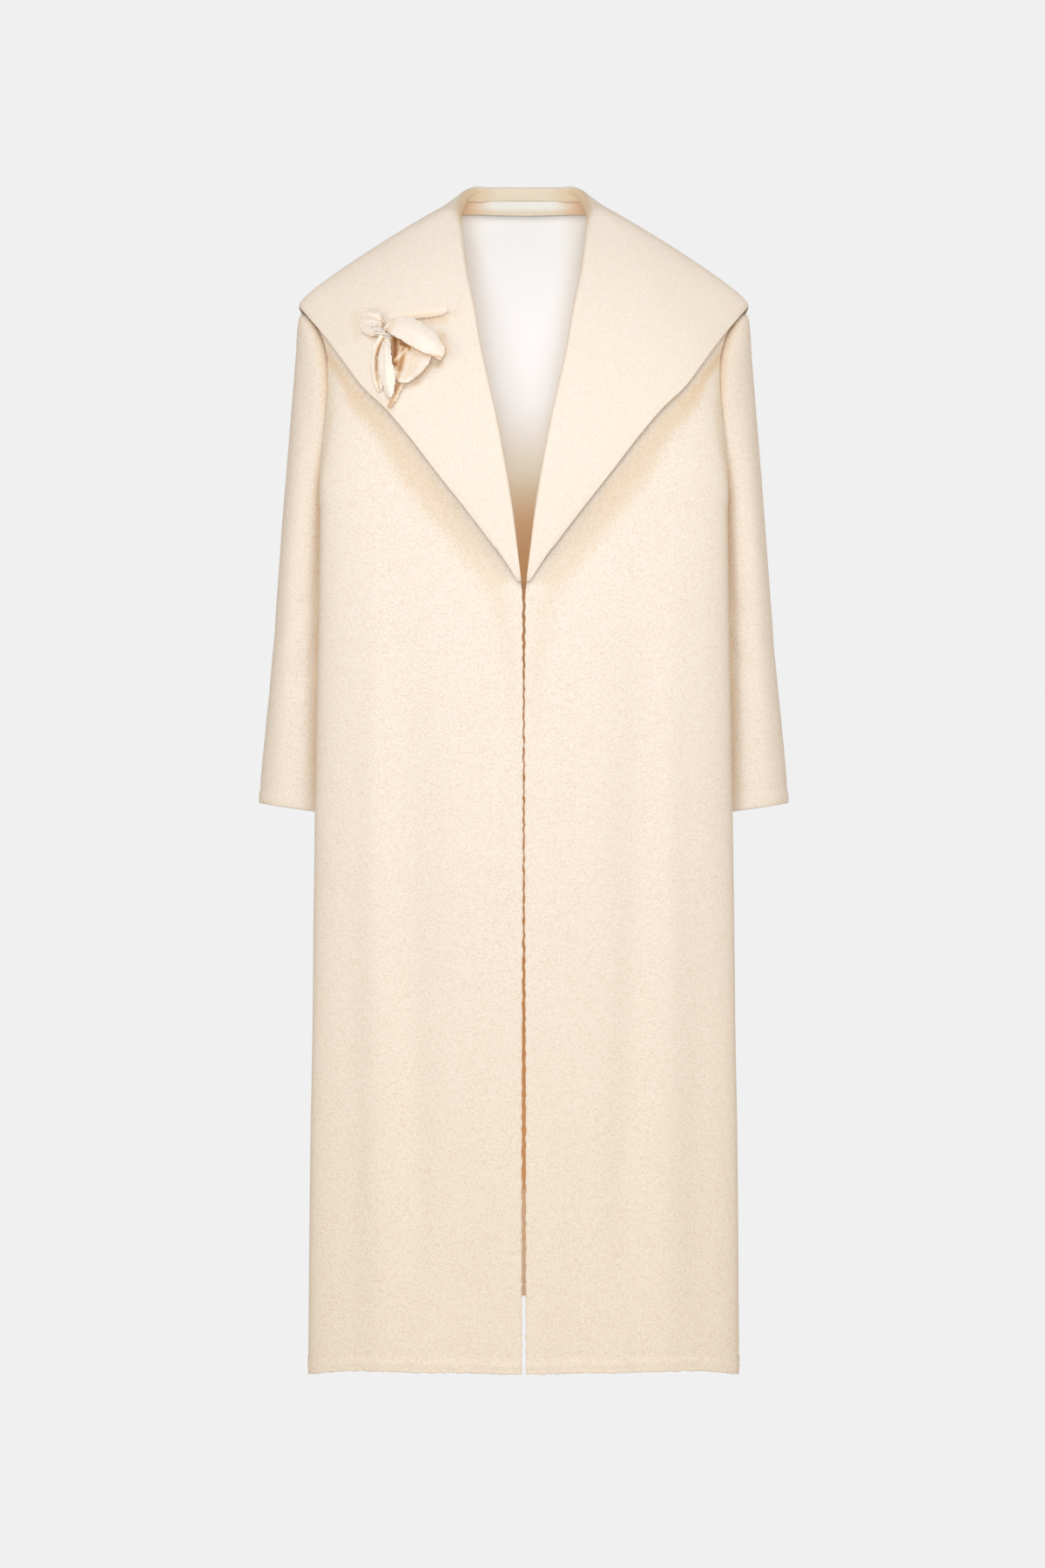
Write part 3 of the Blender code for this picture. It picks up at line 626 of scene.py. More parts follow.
def section(angle, tuck, drop, front):
    """Half-section of the body: an oval out to the lap, then a tuck in to the side seam.

    Across is the lap times the sine of the angle. Forward is the lap's place plus the rest of the
    depth times a power of the cosine. The tuck, 0 to 1, carries both over to the seam.
    """
    lap = size("lap" if front else "back_lap", drop)
    side = size("side", drop)
    depth = size("front" if front else "back", drop)
    lap_y = LAP_Y if front else BACK_Y
    x = lap * np.sin(angle) + (side - lap) * ease(tuck ** TUCK_POWER)
    y = lap_y + (depth - lap_y) * np.cos(angle) ** OVAL_POWER
    if front:
        return x, -y + (SIDE_Y + lap_y) * tuck
    return x, y + (SIDE_Y - lap_y) * tuck


def scoop(level):
    """Inward scoop of the armhole's front: half a sine over a power of the way up from its foot."""
    return SCOOP * np.sin(np.pi * level ** SCOOP_POWER)


def shoulder_line(top, level, front):
    """Top of a half-panel: the shoulder seam, and on the back the neckline, at each column.

    The seam runs straight from the neck to the shoulder and arches by a parabola. The neckline is
    a squared quarter-oval. Further down the back both are smoothed from column to column.
    """
    x = NECK_X + (SHOULDER[0] - NECK_X) * top if front else SHOULDER[0] * top
    along = np.clip((x - NECK_X) / (SHOULDER[0] - NECK_X), 0, 1)
    y = np.full_like(x, NECK_Y)
    z = NECK_Z + (SHOULDER[2] - NECK_Z) * along + SHOULDER_RISE * 4 * along * (1 - along)
    if front:
        return y, z
    round_neck = (1 - np.clip(x / NECK_X, 0, 1) ** NECK_POWER) ** (1 / NECK_POWER)
    y = NECK_Y + (BACK_NECK_Y - NECK_Y) * round_neck
    z = z + (BACK_NECK_Z - NECK_Z) * round_neck ** 0.5
    settle = ease((SETTLE_FROM - level) / SETTLE_OVER)
    y = y + (smoothed(y, SETTLE_STEPS) - y) * settle
    return y, z + (smoothed(z, SETTLE_STEPS) - z) * settle


def half_panel(front, across, tucked):
    """Half-front or half-back, hem to shoulder, centre to side seam: (rows, columns).

    Below the arm each row is a section at its drop. Above it the columns close in towards the
    neck and the shoulder seam, and the panel rises to the seam in a curve of its own.
    Returns the grid, each row's share of the way up from the arm, and the tuck of each column.
    """
    shape = SHAPES["front" if front else "back"]
    table = keyed(FRONT if front else BACK)
    at = np.linspace(0, len(table) - 1, across)
    inside = np.linspace(0, 1, tucked + 1)[1:]
    angle = np.concatenate((np.radians(through(table, 1, at)), np.full(tucked, math.pi / 2)))
    top = through(table, 2, at) / (1.0 if front else SHOULDER[0])
    top = np.concatenate((top, 1 - (1 - top[-1]) * (1 - inside)))
    tuck = np.concatenate((np.zeros(across), inside))

    hem_centre, hem_lap, hem_power = shape["hem"]
    hem = hem_centre + (hem_lap - hem_centre) * np.sin(angle) ** hem_power
    hem = hem + (HEM_SIDE - hem_lap) * tuck
    turning = np.arange(0, HEM_TURNING, HEM_STEP)
    rest = np.linspace(HEM_TURNING + HEM_STEP, HEM_REACH, BELOW)
    fall = 1 - (np.concatenate((turning, rest)) / HEM_REACH)[:, None]
    drop = UNDERARM + (hem - UNDERARM) * fall
    start = np.zeros_like(drop)
    if front:
        start = np.arcsin(np.clip(half_gap(drop) / size("lap", drop), 0, 1))
    x, y = section(start + (math.pi / 2 - start) * (angle / (math.pi / 2)), tuck, drop, front)
    lower = np.stack((x, y, -drop), -1)

    level = ((1 - np.cos(np.pi * np.arange(1, ABOVE + 1) / ABOVE)) / 2)[:, None]
    top_y, top_z = shoulder_line(top, level, front)
    z = -UNDERARM + (top_z + UNDERARM) * level
    edge_x = ARMPIT[0] + (SHOULDER[0] - ARMPIT[0]) * level
    swing = ARMHOLE_HALF_WIDTH * 2 * np.sqrt(level * (1 - level))
    middle_y = ARMPIT[1] + (SHOULDER[1] - ARMPIT[1]) * level
    edge_y = middle_y - swing if front else middle_y + swing
    start_x = half_gap(-z) if front else np.zeros_like(z)
    first_x = half_gap(UNDERARM) if front else 0.0
    ring = lower[-1]
    spread = (ring[:, 0] - first_x) / (ARMPIT[0] - first_x)
    closed, power = shape["close"]
    x = start_x + (edge_x - start_x) * (spread + (top - spread) * ease(level / closed) ** power)
    if front:
        x = x - scoop(level) * tuck
    power, full, less = shape["profile"]
    profile = (1 - level ** power) ** (full - less * top)
    lap_y = np.where(tuck > 0, -LAP_Y if front else BACK_Y, ring[:, 1])
    y = (top_y + (lap_y - top_y) * profile) * (1 - tuck) + edge_y * tuck
    grid = np.concatenate((lower, np.stack((x, y, z), -1)))
    up = np.concatenate((np.zeros(len(lower)), level[:, 0]))
    return grid, up, tuck


def folds(name, side, drop):
    """Troughs and ridges: bells across leaning, wavering lines, each swelling by half a sine."""
    total = np.zeros_like(side)
    reach, often, unlike = FOLD_WAVER
    for side_top, side_bottom, top, bottom, width_top, width_bottom, depth in FOLDS[name]:
        t = np.clip((drop - top) / (bottom - top), 0, 1)
        lean = t + reach * np.sin(t * often + side_top * unlike)
        line = side_top + (side_bottom - side_top) * lean
        width = width_top + (width_bottom - width_top) * t
        total += depth * bell((side - line) / width) * np.sin(math.pi * t) ** FOLD_POWER
    return total


def hem_roll(up_from_hem):
    """Turned hem: a faint ridge where the turning ends, and a slight draw-in just above it."""
    ridge, draw = (height * bell((up_from_hem - at) / half_width)
                   for height, at, half_width in (HEM_RIDGE, HEM_DRAW))
    return ridge - draw


def around_from_centre(grid):
    """Distance round each row from the coat's centre line: its first column's x, then its steps."""
    return np.abs(grid[:, :1, 0]) + run(grid, 1)


def resample(table, count):
    """Rows of a collar table at even steps along its outer edge."""
    step = np.linalg.norm(np.diff(table[:, 3:6], axis=0), axis=1)
    at = np.concatenate(((0.0,), np.cumsum(step))) / step.sum()
    placed = np.concatenate((at[:, None], table), 1)
    where = np.linspace(0, 1, count + 1)
    return np.stack([through(placed, k, where) for k in range(1, placed.shape[1])], -1)


def collar_half():
    """Half-collar: each row is a stand, a half-circle over the roll line, then a leaf.

    The leaf runs from the roll to the outer edge, bellied out by a parabola, which is raised to
    a lower power over the shoulder, where the leaf lies straighter and drops at its edge. The rows
    there are smoothed, and the edge is then moved back out to the point that it had.
    """
    ahead = resample(COLLAR_FRONT, COLLAR_AHEAD)
    behind = resample(COLLAR_BACK, COLLAR_BEHIND)
    rows = np.concatenate((ahead, behind[1:]))
    off_ridge = np.arange(len(rows)) - COLLAR_AHEAD
    point = rows[COLLAR_AHEAD, 3:6]
    near = bell(off_ridge / RIDGE_SMOOTHED)[:, None]
    rows = rows + (smoothed(rows, RIDGE_STEPS) - rows) * near
    lost = (point - rows[COLLAR_AHEAD, 3:6]) * (1.0, 0, 0.5)
    rows[:, 3:6] += lost * bell(off_ridge / RIDGE_MOVED)[:, None]
    roll, edge = rows[:, 0:3], rows[:, 3:6]
    belly, stand, radius = rows[:, 6:7], rows[:, 7:8], rows[:, 8:9]
    out = unit(edge - roll)
    along = unit(np.gradient(roll, axis=0))
    up = unit(np.cross(out, along))
    centre = roll + out * radius
    low = centre - up * radius
    columns = [low - np.array((0, 0, 1)) * stand * share for share in STAND]
    for turn in np.linspace(-math.pi / 2, math.pi / 2, ROLL_COLUMNS):
        columns.append(centre + (up * math.sin(turn) - out * math.cos(turn)) * radius)
    first = centre + up * radius
    full = 1 - 0.55 * bell(off_ridge / RIDGE_STRAIGHT)[:, None]
    for t in np.linspace(0, 1, LEAF_COLUMNS + 1)[1:]:
        columns.append(first + (edge - first) * t + up * belly / 2 * (4 * t * (1 - t)) ** full)
    return np.stack(columns, 1)


def creases(name, down, turn):
    """Soft creases of a sleeve: bells across lines drawn on the sleeve laid flat, in metres."""
    around, along = np.radians(turn)[None] * SLEEVE_FLAT[0], down[:, None] * SLEEVE_FLAT[1]
    spot = np.stack(np.broadcast_arrays(around, along), -1)
    total = np.zeros(spot.shape[:2])
    for turn_a, turn_b, down_a, down_b, width, depth in CREASES[name]:
        a = np.array((math.radians(turn_a), down_a)) * SLEEVE_FLAT
        b = np.array((math.radians(turn_b), down_b)) * SLEEVE_FLAT
        t = np.clip(((spot - a) @ (b - a)) / ((b - a) @ (b - a)), 0, 1)
        away = np.linalg.norm(spot - (a + (b - a) * t[..., None]), axis=-1)
        total += depth * bell(away / width) * (0.35 + 0.65 * np.sin(math.pi * t))
    return total


def sleeve_tube(name):
    """Sleeve, with its creases: (armhole to cuff, round from the outer line through the front).

    Each row is an oval: its middle, plus the cosine of the turn times half the way from its inner
    to its outer line, less the sine times half its depth. The first rows lean with the armhole and
    share its scoop, and the first one stands off it by a seam.
    """
    head = (0.0, 0.5, 1.0, 1.5, 2.0)
    rest = np.linspace(2.4, len(SLEEVE) - 1, SLEEVE_ROWS - len(head))
    even = np.concatenate((head, rest))
    outer_x, outer_z, inner_x, inner_z, middle_y, depth = (
        through(keyed(SLEEVE), k, even) for k in range(1, 7)
    )
    turn = np.linspace(0, 2 * math.pi, SLEEVE_AROUND + 1)[:-1]
    outer = np.stack((outer_x, np.zeros_like(outer_x), outer_z), -1)
    inner = np.stack((inner_x, np.zeros_like(outer_x), inner_z), -1)
    middle = (outer + inner) / 2
    middle[:, 1] = middle_y
    half = (outer - inner) / 2
    lean = np.interp(even, range(len(SLEEVE_LEAN)), SLEEVE_LEAN)
    half[:, 1] += lean * (SHOULDER[1] - ARMPIT[1]) / 2
    grid = middle[:, None] + np.cos(turn)[None, :, None] * half[:, None]
    grid[:, :, 1] += -np.sin(turn)[None, :] * depth[:, None]
    keep = np.interp(even, range(len(SLEEVE_SCOOP)), SLEEVE_SCOOP)[:, None]
    grid[:, :, 0] -= keep * scoop((1 + np.cos(turn)) / 2) * (np.sin(turn) > 0)
    off_armhole = unit(np.cross((0, 1.0, 0), half[0]))
    grid += off_armhole * ARMHOLE_SEAM * bell(even / 0.35)[:, None, None]

    reach = np.linalg.norm(np.diff(middle, axis=0), axis=1)
    down = np.concatenate(((0.0,), np.cumsum(reach))) / reach.sum()
    degrees = (np.degrees(turn) + 180) % 360 - 180
    # Creases start below the head. They and the cuff's turning fade out on the side to the body.
    to_body = np.abs(degrees)[None]
    bend = creases(name, down, degrees)
    bend *= ease((down[:, None] - 0.03) / 0.12) * ease((135 - to_body) / 40)
    bend += hem_roll((1 - down[:, None]) * reach.sum()) * ease((150 - to_body) / 40)
    wrapped = np.concatenate((grid[:, -1:], grid, grid[:, :1]), 1)
    out = normals(wrapped)[:, 1:-1]
    out = out * np.sign(((grid - middle[:, None]) * out).sum(-1, keepdims=True))
    return grid + out * bend[..., None], out


def mirrored(grid):
    """The same points on the other side of the coat."""
    return grid * np.array((-1, 1, 1))


def both_sides(half):
    """Right half, then left half, joined at the first column."""
    return np.concatenate((mirrored(half[:, :0:-1]), half), 1)


# ---------------------------------------------------------------- pieces


def add_mesh(name, points, faces, finish):
    """A smooth mesh from its points and faces, put in the scene with its finish."""
    mesh = bpy.data.meshes.new(name)
    mesh.from_pydata(points, [], faces)
    mesh.shade_smooth()
    mesh.materials.append(finish)
    obj = bpy.data.objects.new(name, mesh)
    bpy.context.scene.collection.objects.link(obj)
    return obj


def cloth_mesh(name, points, faces, finish, uv, shade):
    """A mesh turned so that its faces point outwards, with its flat cut as a UV map and its shade."""
    corner = points[faces]
    spread = np.cross(corner[:, 2] - corner[:, 0], corner[:, 3] - corner[:, 1])
    if (corner.mean(1) * spread).sum() < 0:
        faces = faces[:, ::-1]
    obj = add_mesh(name, points, faces, finish)
    if uv is not None:
        layer = obj.data.uv_layers.new(name="cut")
        layer.data.foreach_set("uv", uv[faces.ravel()].astype(np.float32).ravel())
    if shade is not None:
        layer = obj.data.attributes.new("shade", "FLOAT", "POINT")
        layer.data.foreach_set("value", shade.astype(np.float32))
    return obj


def strip(first, second):
    """Quads between two closed loops of point numbers."""
    return np.stack((np.roll(first, -1), first, second, np.roll(second, -1)), -1)


def cloth(name, outer, inward, thick, finish, rims, closed=False, shade=None):
    """A piece of cloth: the grid, the same grid moved in by its thickness, and rounded rims.

    rims: how far the rim bulges at the first row, last row, first column and last column, as a
    share of the thickness. At each rim point the bulge follows half a sine across the edge.
    shade: how deep in shadowed, warmer cloth each point lies, 0 to 1.
    """
    rows, columns = outer.shape[:2]
    outer = outer.copy()
    away = np.zeros_like(outer)
    bulge = np.zeros((rows, columns))
    whole, inside = slice(None), slice(1, -1)
    # Of each rim: its points, the points beside them, and the points whose bulge it sets.
    edges = [((0, whole), (1, whole), (0, whole)), ((-1, whole), (-2, whole), (-1, whole))]
    if not closed:
        edges += [((whole, 0), (whole, 1), (inside, 0)), ((whole, -1), (whole, -2), (inside, -1))]
    for (edge, beside, _), rim in zip(edges, rims):
        outer[edge] += unit(outer[beside] - outer[edge]) * rim * thick
    for (edge, beside, own), rim in zip(edges, rims):
        away[edge] += unit(outer[edge] - outer[beside])
        bulge[own] = rim
    away = unit(away).reshape(-1, 3)
    bulge = bulge.reshape(-1)

    index = np.arange(rows * columns).reshape(rows, columns)
    wide = np.concatenate((index, index[:, :1]), 1) if closed else index
    a, b = wide[:-1, :-1], wide[:-1, 1:]
    c, d = wide[1:, 1:], wide[1:, :-1]
    count = rows * columns
    quads = [np.stack((a, b, c, d), -1), np.stack((d, c, b, a), -1) + count]
    points = [outer.reshape(-1, 3), (outer + inward * thick).reshape(-1, 3)]
    if closed:
        loops = [index[0], index[-1, ::-1]]
    else:
        loops = [np.concatenate((index[0], index[1:, -1], index[-1, -2::-1], index[-2:0:-1, 0]))]
    made = 2 * count
    for loop in loops:
        previous = loop
        for t in RIM_STEPS:
            push = (bulge[loop] * thick * math.sin(math.pi * t))[:, None]
            points.append(points[0][loop] * (1 - t) + points[1][loop] * t + away[loop] * push)
            ring = np.arange(made, made + len(loop))
            made += len(loop)
            quads.append(strip(previous, ring))
            previous = ring
        quads.append(strip(previous, loop + count))

    def everywhere(values):
        """The grid's own values, given to the inner face and to the rims as well."""
        return np.concatenate([values, values] + [values[loop] for loop in loops for _ in RIM_STEPS])

    uv = None
    if not closed:
        uv = everywhere(np.stack((run(outer, 1), run(outer, 0)), -1).reshape(-1, 2))
    if shade is not None:
        shade = everywhere(shade.reshape(-1))
    faces = np.concatenate([quad.reshape(-1, 4) for quad in quads])
    return cloth_mesh(name, np.concatenate(points), faces, finish, uv, shade)


def threads(name, start, heading, length, radius, curl, finish, seed, steps=5):
    """Many short yarns in one mesh, each a three-sided tube that thins towards its tip.

    Each follows its heading, bent off it by the square of the way along, and swung to one side by
    half a sine of it.
    """
    rng = np.random.default_rng(seed)
    count = len(start)
    t = np.linspace(0, 1, steps)[None, :, None]
    heading = unit(heading)
    bend = rng.normal(size=(count, 1, 3))
    bend -= (bend * heading[:, None]).sum(-1, keepdims=True) * heading[:, None]
    bend = unit(bend)
    twist = unit(np.cross(heading[:, None], bend))
    reach = np.asarray(length).reshape(-1, 1, 1) * np.ones((count, 1, 1))
    spin = rng.uniform(-1, 1, (count, 1, 1))
    line = start[:, None] + heading[:, None] * reach * t
    line = line + bend * reach * curl * t ** 2 + twist * reach * curl * spin * np.sin(math.pi * t)
    forward = unit(np.gradient(line, axis=1))
    one = unit(np.cross(forward, twist + 0.01))
    two = np.cross(forward, one)
    taper = radius * (1 - 0.55 * t)
    ring = [line + (one * math.cos(a) + two * math.sin(a)) * taper
            for a in (0, 2 * math.pi / 3, 4 * math.pi / 3)]
    points = np.stack(ring, 2).reshape(-1, 3)
    foot = np.arange(count)[:, None, None] * steps * 3
    row = np.arange(steps - 1)[None, :, None] * 3
    side = np.arange(3)[None, None, :]
    a = foot + row + side
    b = foot + row + (side + 1) % 3
    walls = np.stack((a, b, b + 3, a + 3), -1).reshape(-1, 4)
    foot = foot[:, 0, 0]
    tip = foot + (steps - 1) * 3
    caps = np.concatenate((np.stack((foot + 2, foot + 1, foot), -1),
                           np.stack((tip, tip + 1, tip + 2), -1)))
    return add_mesh(name, points, walls.tolist() + caps.tolist(), finish)


# ---------------------------------------------------------------- finishes


class Field:
    """A value that changes over a surface. Its arithmetic adds Math nodes."""

    def __init__(self, finish, socket):
        self.finish = finish
        self.socket = socket

    def _math(self, operation, *values):
        """A Math node on these values."""
        return self.finish.node("ShaderNodeMath", {"operation": operation}, *values)

    def __add__(self, other):
        return self._math("ADD", self, other)

    __radd__ = __add__

    def __sub__(self, other):
        return self._math("SUBTRACT", self, other)

    def __rsub__(self, other):
        return self._math("SUBTRACT", other, self)

    def __mul__(self, other):
        return self._math("MULTIPLY", self, other)

    __rmul__ = __mul__

    def __abs__(self):
        return self._math("ABSOLUTE", self)

    def sine(self):
        """Its sine, in radians."""
        return self._math("SINE", self)

    def clamped(self):
        """Held between 0 and 1."""
        return self.finish.node("ShaderNodeClamp", {}, self)


class Finish:
    """A material, built up node by node. Its constants are set on the shader's own sockets."""

    def __init__(self, name, **constants):
        self.material = bpy.data.materials.new(name)
        self.material.use_nodes = True
        self.tree = self.material.node_tree
        self.shader = self.tree.nodes["Principled BSDF"]
        for socket, value in constants.items():
            self.shader.inputs[socket.replace("_", " ")].default_value = value

    def node(self, kind, settings, *values, output=0, **named):
        """Adds a node: its settings, then values or links by order or by name."""
        made = self.tree.nodes.new(kind)
        for key, value in settings.items():
            if key == "stops":
                ramp = made.color_ramp
                while len(ramp.elements) < len(value):
                    ramp.elements.new(0.5)
                for element, (place, colour) in zip(ramp.elements, value):
                    element.position = place
                    element.color = (*colour, 1)
            else:
                setattr(made, key, value)
        pairs = list(enumerate(values))
        pairs += [(key.replace("_", " "), value) for key, value in named.items()]
        for key, value in pairs:
            self.put(made.inputs[key], value)
        return Field(self, made.outputs[output])

    def put(self, socket, value):
        """Links a field to a socket, or sets the socket to a value."""
        if isinstance(value, Field):
            self.tree.links.new(value.socket, socket)
        else:
            socket.default_value = value

    def feed(self, name, value):
        """Puts a field on one of the shader's own sockets."""
        self.put(self.shader.inputs[name], value)

    def place(self, kind="Object"):
        """Where on the object, or on its flat cut when the kind is UV."""
        return self.node("ShaderNodeTexCoord", {}, output=kind)

    def part(self, where, axis=0):
        """One coordinate of a place: 0, 1 or 2."""
        return self.node("ShaderNodeSeparateXYZ", {}, where, output=axis)

    def noise(self, where, scale, detail=2.0, rough=0.5, output="Fac", warp=0.0):
        """Cloudy noise, with its scale in bumps to a metre."""
        return self.node("ShaderNodeTexNoise", {}, Vector=where, Scale=scale, Detail=detail,
                         Roughness=rough, Distortion=warp, output=output)

    def between(self, value, low, high, smooth=True):
        """0 below low, 1 above high, smooth or straight between them."""
        kind = "SMOOTHSTEP" if smooth else "LINEAR"
        return self.node("ShaderNodeMapRange", {"interpolation_type": kind}, value, low, high,
                         0.0, 1.0)

    def ramp(self, value, stops):
        """A colour by value, straight between its stops."""
        return self.node("ShaderNodeValToRGB", {"stops": stops}, value)

    def mix(self, amount, first, second, kind="MIX"):
        """The first colour, and by an amount of 0 to 1 the second, blended in the kind's way."""
        made = self.tree.nodes.new("ShaderNodeMix")
        made.data_type = "RGBA"
        made.blend_type = kind
        self.put(made.inputs["Factor"], amount)
        self.put(made.inputs[6], first)
        self.put(made.inputs[7], second)
        return Field(self, made.outputs[2])

    def tinted(self, tone, tint):
        """The tone times the tint, colour by colour."""
        return self.mix(1.0, tone, tint, kind="MULTIPLY")

    def shaded(self, tone):
        """The tone, warmer and deeper where the painted shade stored on the surface runs from 0 to 1.
        """
        shade = self.node("ShaderNodeAttribute", {"attribute_name": "shade"}, output="Fac")
        return self.tinted(tone, self.ramp(shade, WOOL_SHADE))

    def bump(self, height, distance, strength):
        """A normal tipped by a height, whose whole range is a distance in metres."""
        return self.node("ShaderNodeBump", {}, Height=height, Distance=distance, Strength=strength)


# Colours that the cloth is tinted by as its painted shade deepens; then the painted shade that
# the lining takes on, dark and warm at the foot of the front opening, fading out up to the neck.
WOOL_SHADE = (
    (0.0, (1.0, 1.0, 1.0)),
    (0.35, (0.90, 0.80, 0.67)),
    (0.70, (0.66, 0.44, 0.27)),
    (1.0, (0.36, 0.165, 0.07)),
)
LINING_PAINTED_SHADE = (
    (0.13, (0.87, 0.59, 0.335)),
    (0.29, (0.90, 0.625, 0.38)),
    (0.53, (0.985, 0.92, 0.76)),
    (0.84, (1.0, 1.0, 1.0)),
)


def boucle_finish():
    """Looped wool: curled loops about 2 mm across on a slant, pale, with painted warm shade in its
    pits.
    """
    f = Finish("boucle_wool", Roughness=0.95, Specular_IOR_Level=0.2, Sheen_Weight=0.12,
               Sheen_Roughness=0.6)
    place = f.place()
    shift = f.noise(place, 300.0, 2.0, 0.55, output="Color")
    moved = f.node("ShaderNodeVectorMath", {"operation": "MULTIPLY_ADD"}, shift,
                   (0.0036, 0.0036, 0.0036), place)
    slant = f.node("ShaderNodeMapping", {}, Vector=moved, Rotation=(0.0, 0.6, 0.0),
                   Scale=(0.55, 1.0, 1.15))
    loops = f.node("ShaderNodeTexVoronoi", {"feature": "SMOOTH_F1"}, Vector=moved, Scale=520.0,
                   Smoothness=0.3, output="Distance")
    curls = f.noise(slant, 760.0, 3.0, 0.6, warp=1.2)
    fine = f.noise(place, 2100.0, 2.0, 0.6)
    height = (1 - loops) * 0.56 + curls * 0.58 + fine * 0.18
    patch = f.noise(place, 14.0, 3.0, 0.55)
    pale = f.mix(patch, (0.940, 0.855, 0.752, 1), (0.960, 0.882, 0.788, 1))
    # Painted shade: the low places between the loops are darker and warmer.
    tone = f.mix(f.between(height, 0.44, 0.82, False), (0.850, 0.722, 0.580, 1), pale)
    # Painted shade: the wool grows a little darker and warmer towards the hem.
    low = f.between(f.part(place, 2), -0.45, -1.30)
    tone = f.mix(low, tone, f.tinted(tone, (1.0, 0.972, 0.925, 1)))
    f.feed("Base Color", f.shaded(tone))
    f.feed("Normal", f.bump(height, 0.0013, 0.6))
    return f.material


def roll_shade(f, tone, place):
    """Painted shade on the collar's roll: cooler inside the back neck, tan in the fold at both sides.
    """
    over = f.part(f.place("UV"))
    behind = f.between(f.part(place, 2), -0.030, -0.004)
    inside = 1 - f.between(over, 0.006 + behind * 0.006, 0.013 + behind * 0.008)
    aside = f.between(abs(f.part(place)), 0.022, 0.060)
    shade = (aside * 0.5 * behind + 0.30 + behind * 0.12) * inside
    tone = f.mix(inside * behind, tone, f.tinted(tone, (0.88, 0.935, 0.94, 1)))
    return f.mix(shade * 0.86, tone, (0.74, 0.54, 0.34, 1))


def crepe_finish(name, pitch, ground, rib, relief, where="Object", extra=None):
    """Flat crepe with fine ribs running up and down, and a dry grain, with painted shade in its pits.

    pitch: metres from rib to rib; ground: its colour; rib: share of the height that the ribs have;
    relief: depth of the weave and of its painted pit shade, 0 to 1; extra: anything that the colour
    goes through at the end.
    """
    f = Finish(name, Roughness=0.9, Specular_IOR_Level=0.2, Sheen_Weight=0.06)
    place = f.place(where)
    wander = f.noise(place, 90.0, 2.0, 0.5)
    ribs = ((f.part(place) + wander * pitch * 0.7) * (2 * math.pi / pitch)).sine() * 0.5 + 0.5
    grain = f.noise(place, 900.0, 3.0, 0.62)
    cross = f.noise(place, 330.0, 2.0, 0.5)
    height = ribs * rib + grain * 0.74 + cross * 0.46
    patch = f.noise(place, 12.0, 3.0, 0.55)
    ground = np.array(ground)
    pale = f.mix(patch, (*(ground - (0.014, 0.018, 0.022)), 1),
                 (*(ground + (0.012, 0.014, 0.016)), 1))
    middle = 0.60 + rib / 2
    # Painted shade: the low places of the weave are darker and warmer, the more so the deeper the
    # relief.
    pits = f.between(height, middle - 0.22, middle + 0.16, False)
    deep = 1 - (1 - np.array((0.90, 0.845, 0.78))) * relief
    tone = f.mix(pits, (*(ground * deep), 1), pale)
    if extra:
        tone = extra(f, tone, place)
    f.feed("Base Color", f.shaded(tone))
    f.feed("Normal", f.bump(height, 0.0007, 0.6 * relief))
    return f.material


def satin_finish():
    """Satin strip: a soft gleam, darker gold at its foot, painted shade at its ends, fine lines along
    its length.
    """
    f = Finish("satin_strip", Specular_IOR_Level=0.3)
    place = f.place()
    grain = f.noise(place, 1400.0, 2.0, 0.5)
    patch = f.noise(place, 40.0, 2.0, 0.5)
    tone = f.mix(patch, (0.80, 0.78, 0.71, 1), (0.84, 0.825, 0.765, 1))
    foot = f.between(f.part(f.place("UV"), 1), 0.0085, 0.0030)
    tone = f.mix(foot, tone, (0.74, 0.65, 0.50, 1))
    # Painted shade: the strip browns towards its ends, at the sides of the neck.
    ends = f.between(abs(f.part(place)), 0.030, 0.064) * 0.9
    f.feed("Base Color", f.mix(ends, tone, (0.70, 0.47, 0.27, 1)))
    f.feed("Roughness", 0.46 + grain * 0.12)
    f.feed("Normal", f.bump(grain, 0.0002, 0.3))
    return f.material


def lining_finish():
    """Plain woven lining: a fine square weave, white at the neck, warm painted shade down the
    opening.
    """
    f = Finish("white_lining", Roughness=0.7, Specular_IOR_Level=0.3)
    place = f.place("UV")
    threads_per_metre = 2 * math.pi / 0.0011
    warp = (f.part(place) * threads_per_metre).sine()
    weft = (f.part(place, 1) * threads_per_metre).sine()
    weave = warp * weft * 0.5 + 0.5
    slub = f.noise(place, 260.0, 3.0, 0.6)
    patch = f.noise(place, 16.0, 2.0, 0.5)
    tone = f.mix(patch, (0.955, 0.955, 0.938, 1), (0.972, 0.978, 0.968, 1))
    soft = f.noise(place, 420.0, 2.0, 0.6)
    cover = (weave * 0.3 + slub * 0.5 + soft * 0.5).clamped()
    woven = f.mix(cover, (0.90, 0.875, 0.835, 1), tone)
    # Painted shade: the lining grows darker and warmer from the neck down to the foot of the opening.
    up = f.between(f.part(f.place(), 2), -0.40, -0.16, False)
    f.feed("Base Color", f.shaded(f.tinted(woven, f.ramp(up, LINING_PAINTED_SHADE))))
    f.feed("Normal", f.bump(weave * 0.5 + slub * 0.6, 0.0003, 0.45))
    return f.material


def crystal_finish():
    """Clear cut crystal, faintly clouded."""
    f = Finish("clear_crystal", Base_Color=(0.98, 0.98, 0.97, 1), Roughness=0.03, IOR=1.6,
               Coat_Weight=1.0, Coat_IOR=2.0, Transmission_Weight=0.15)
    cloud = f.noise(f.place(), 500.0, 2.0, 0.5)
    f.feed("Roughness", 0.02 + cloud * 0.05)
    return f.material


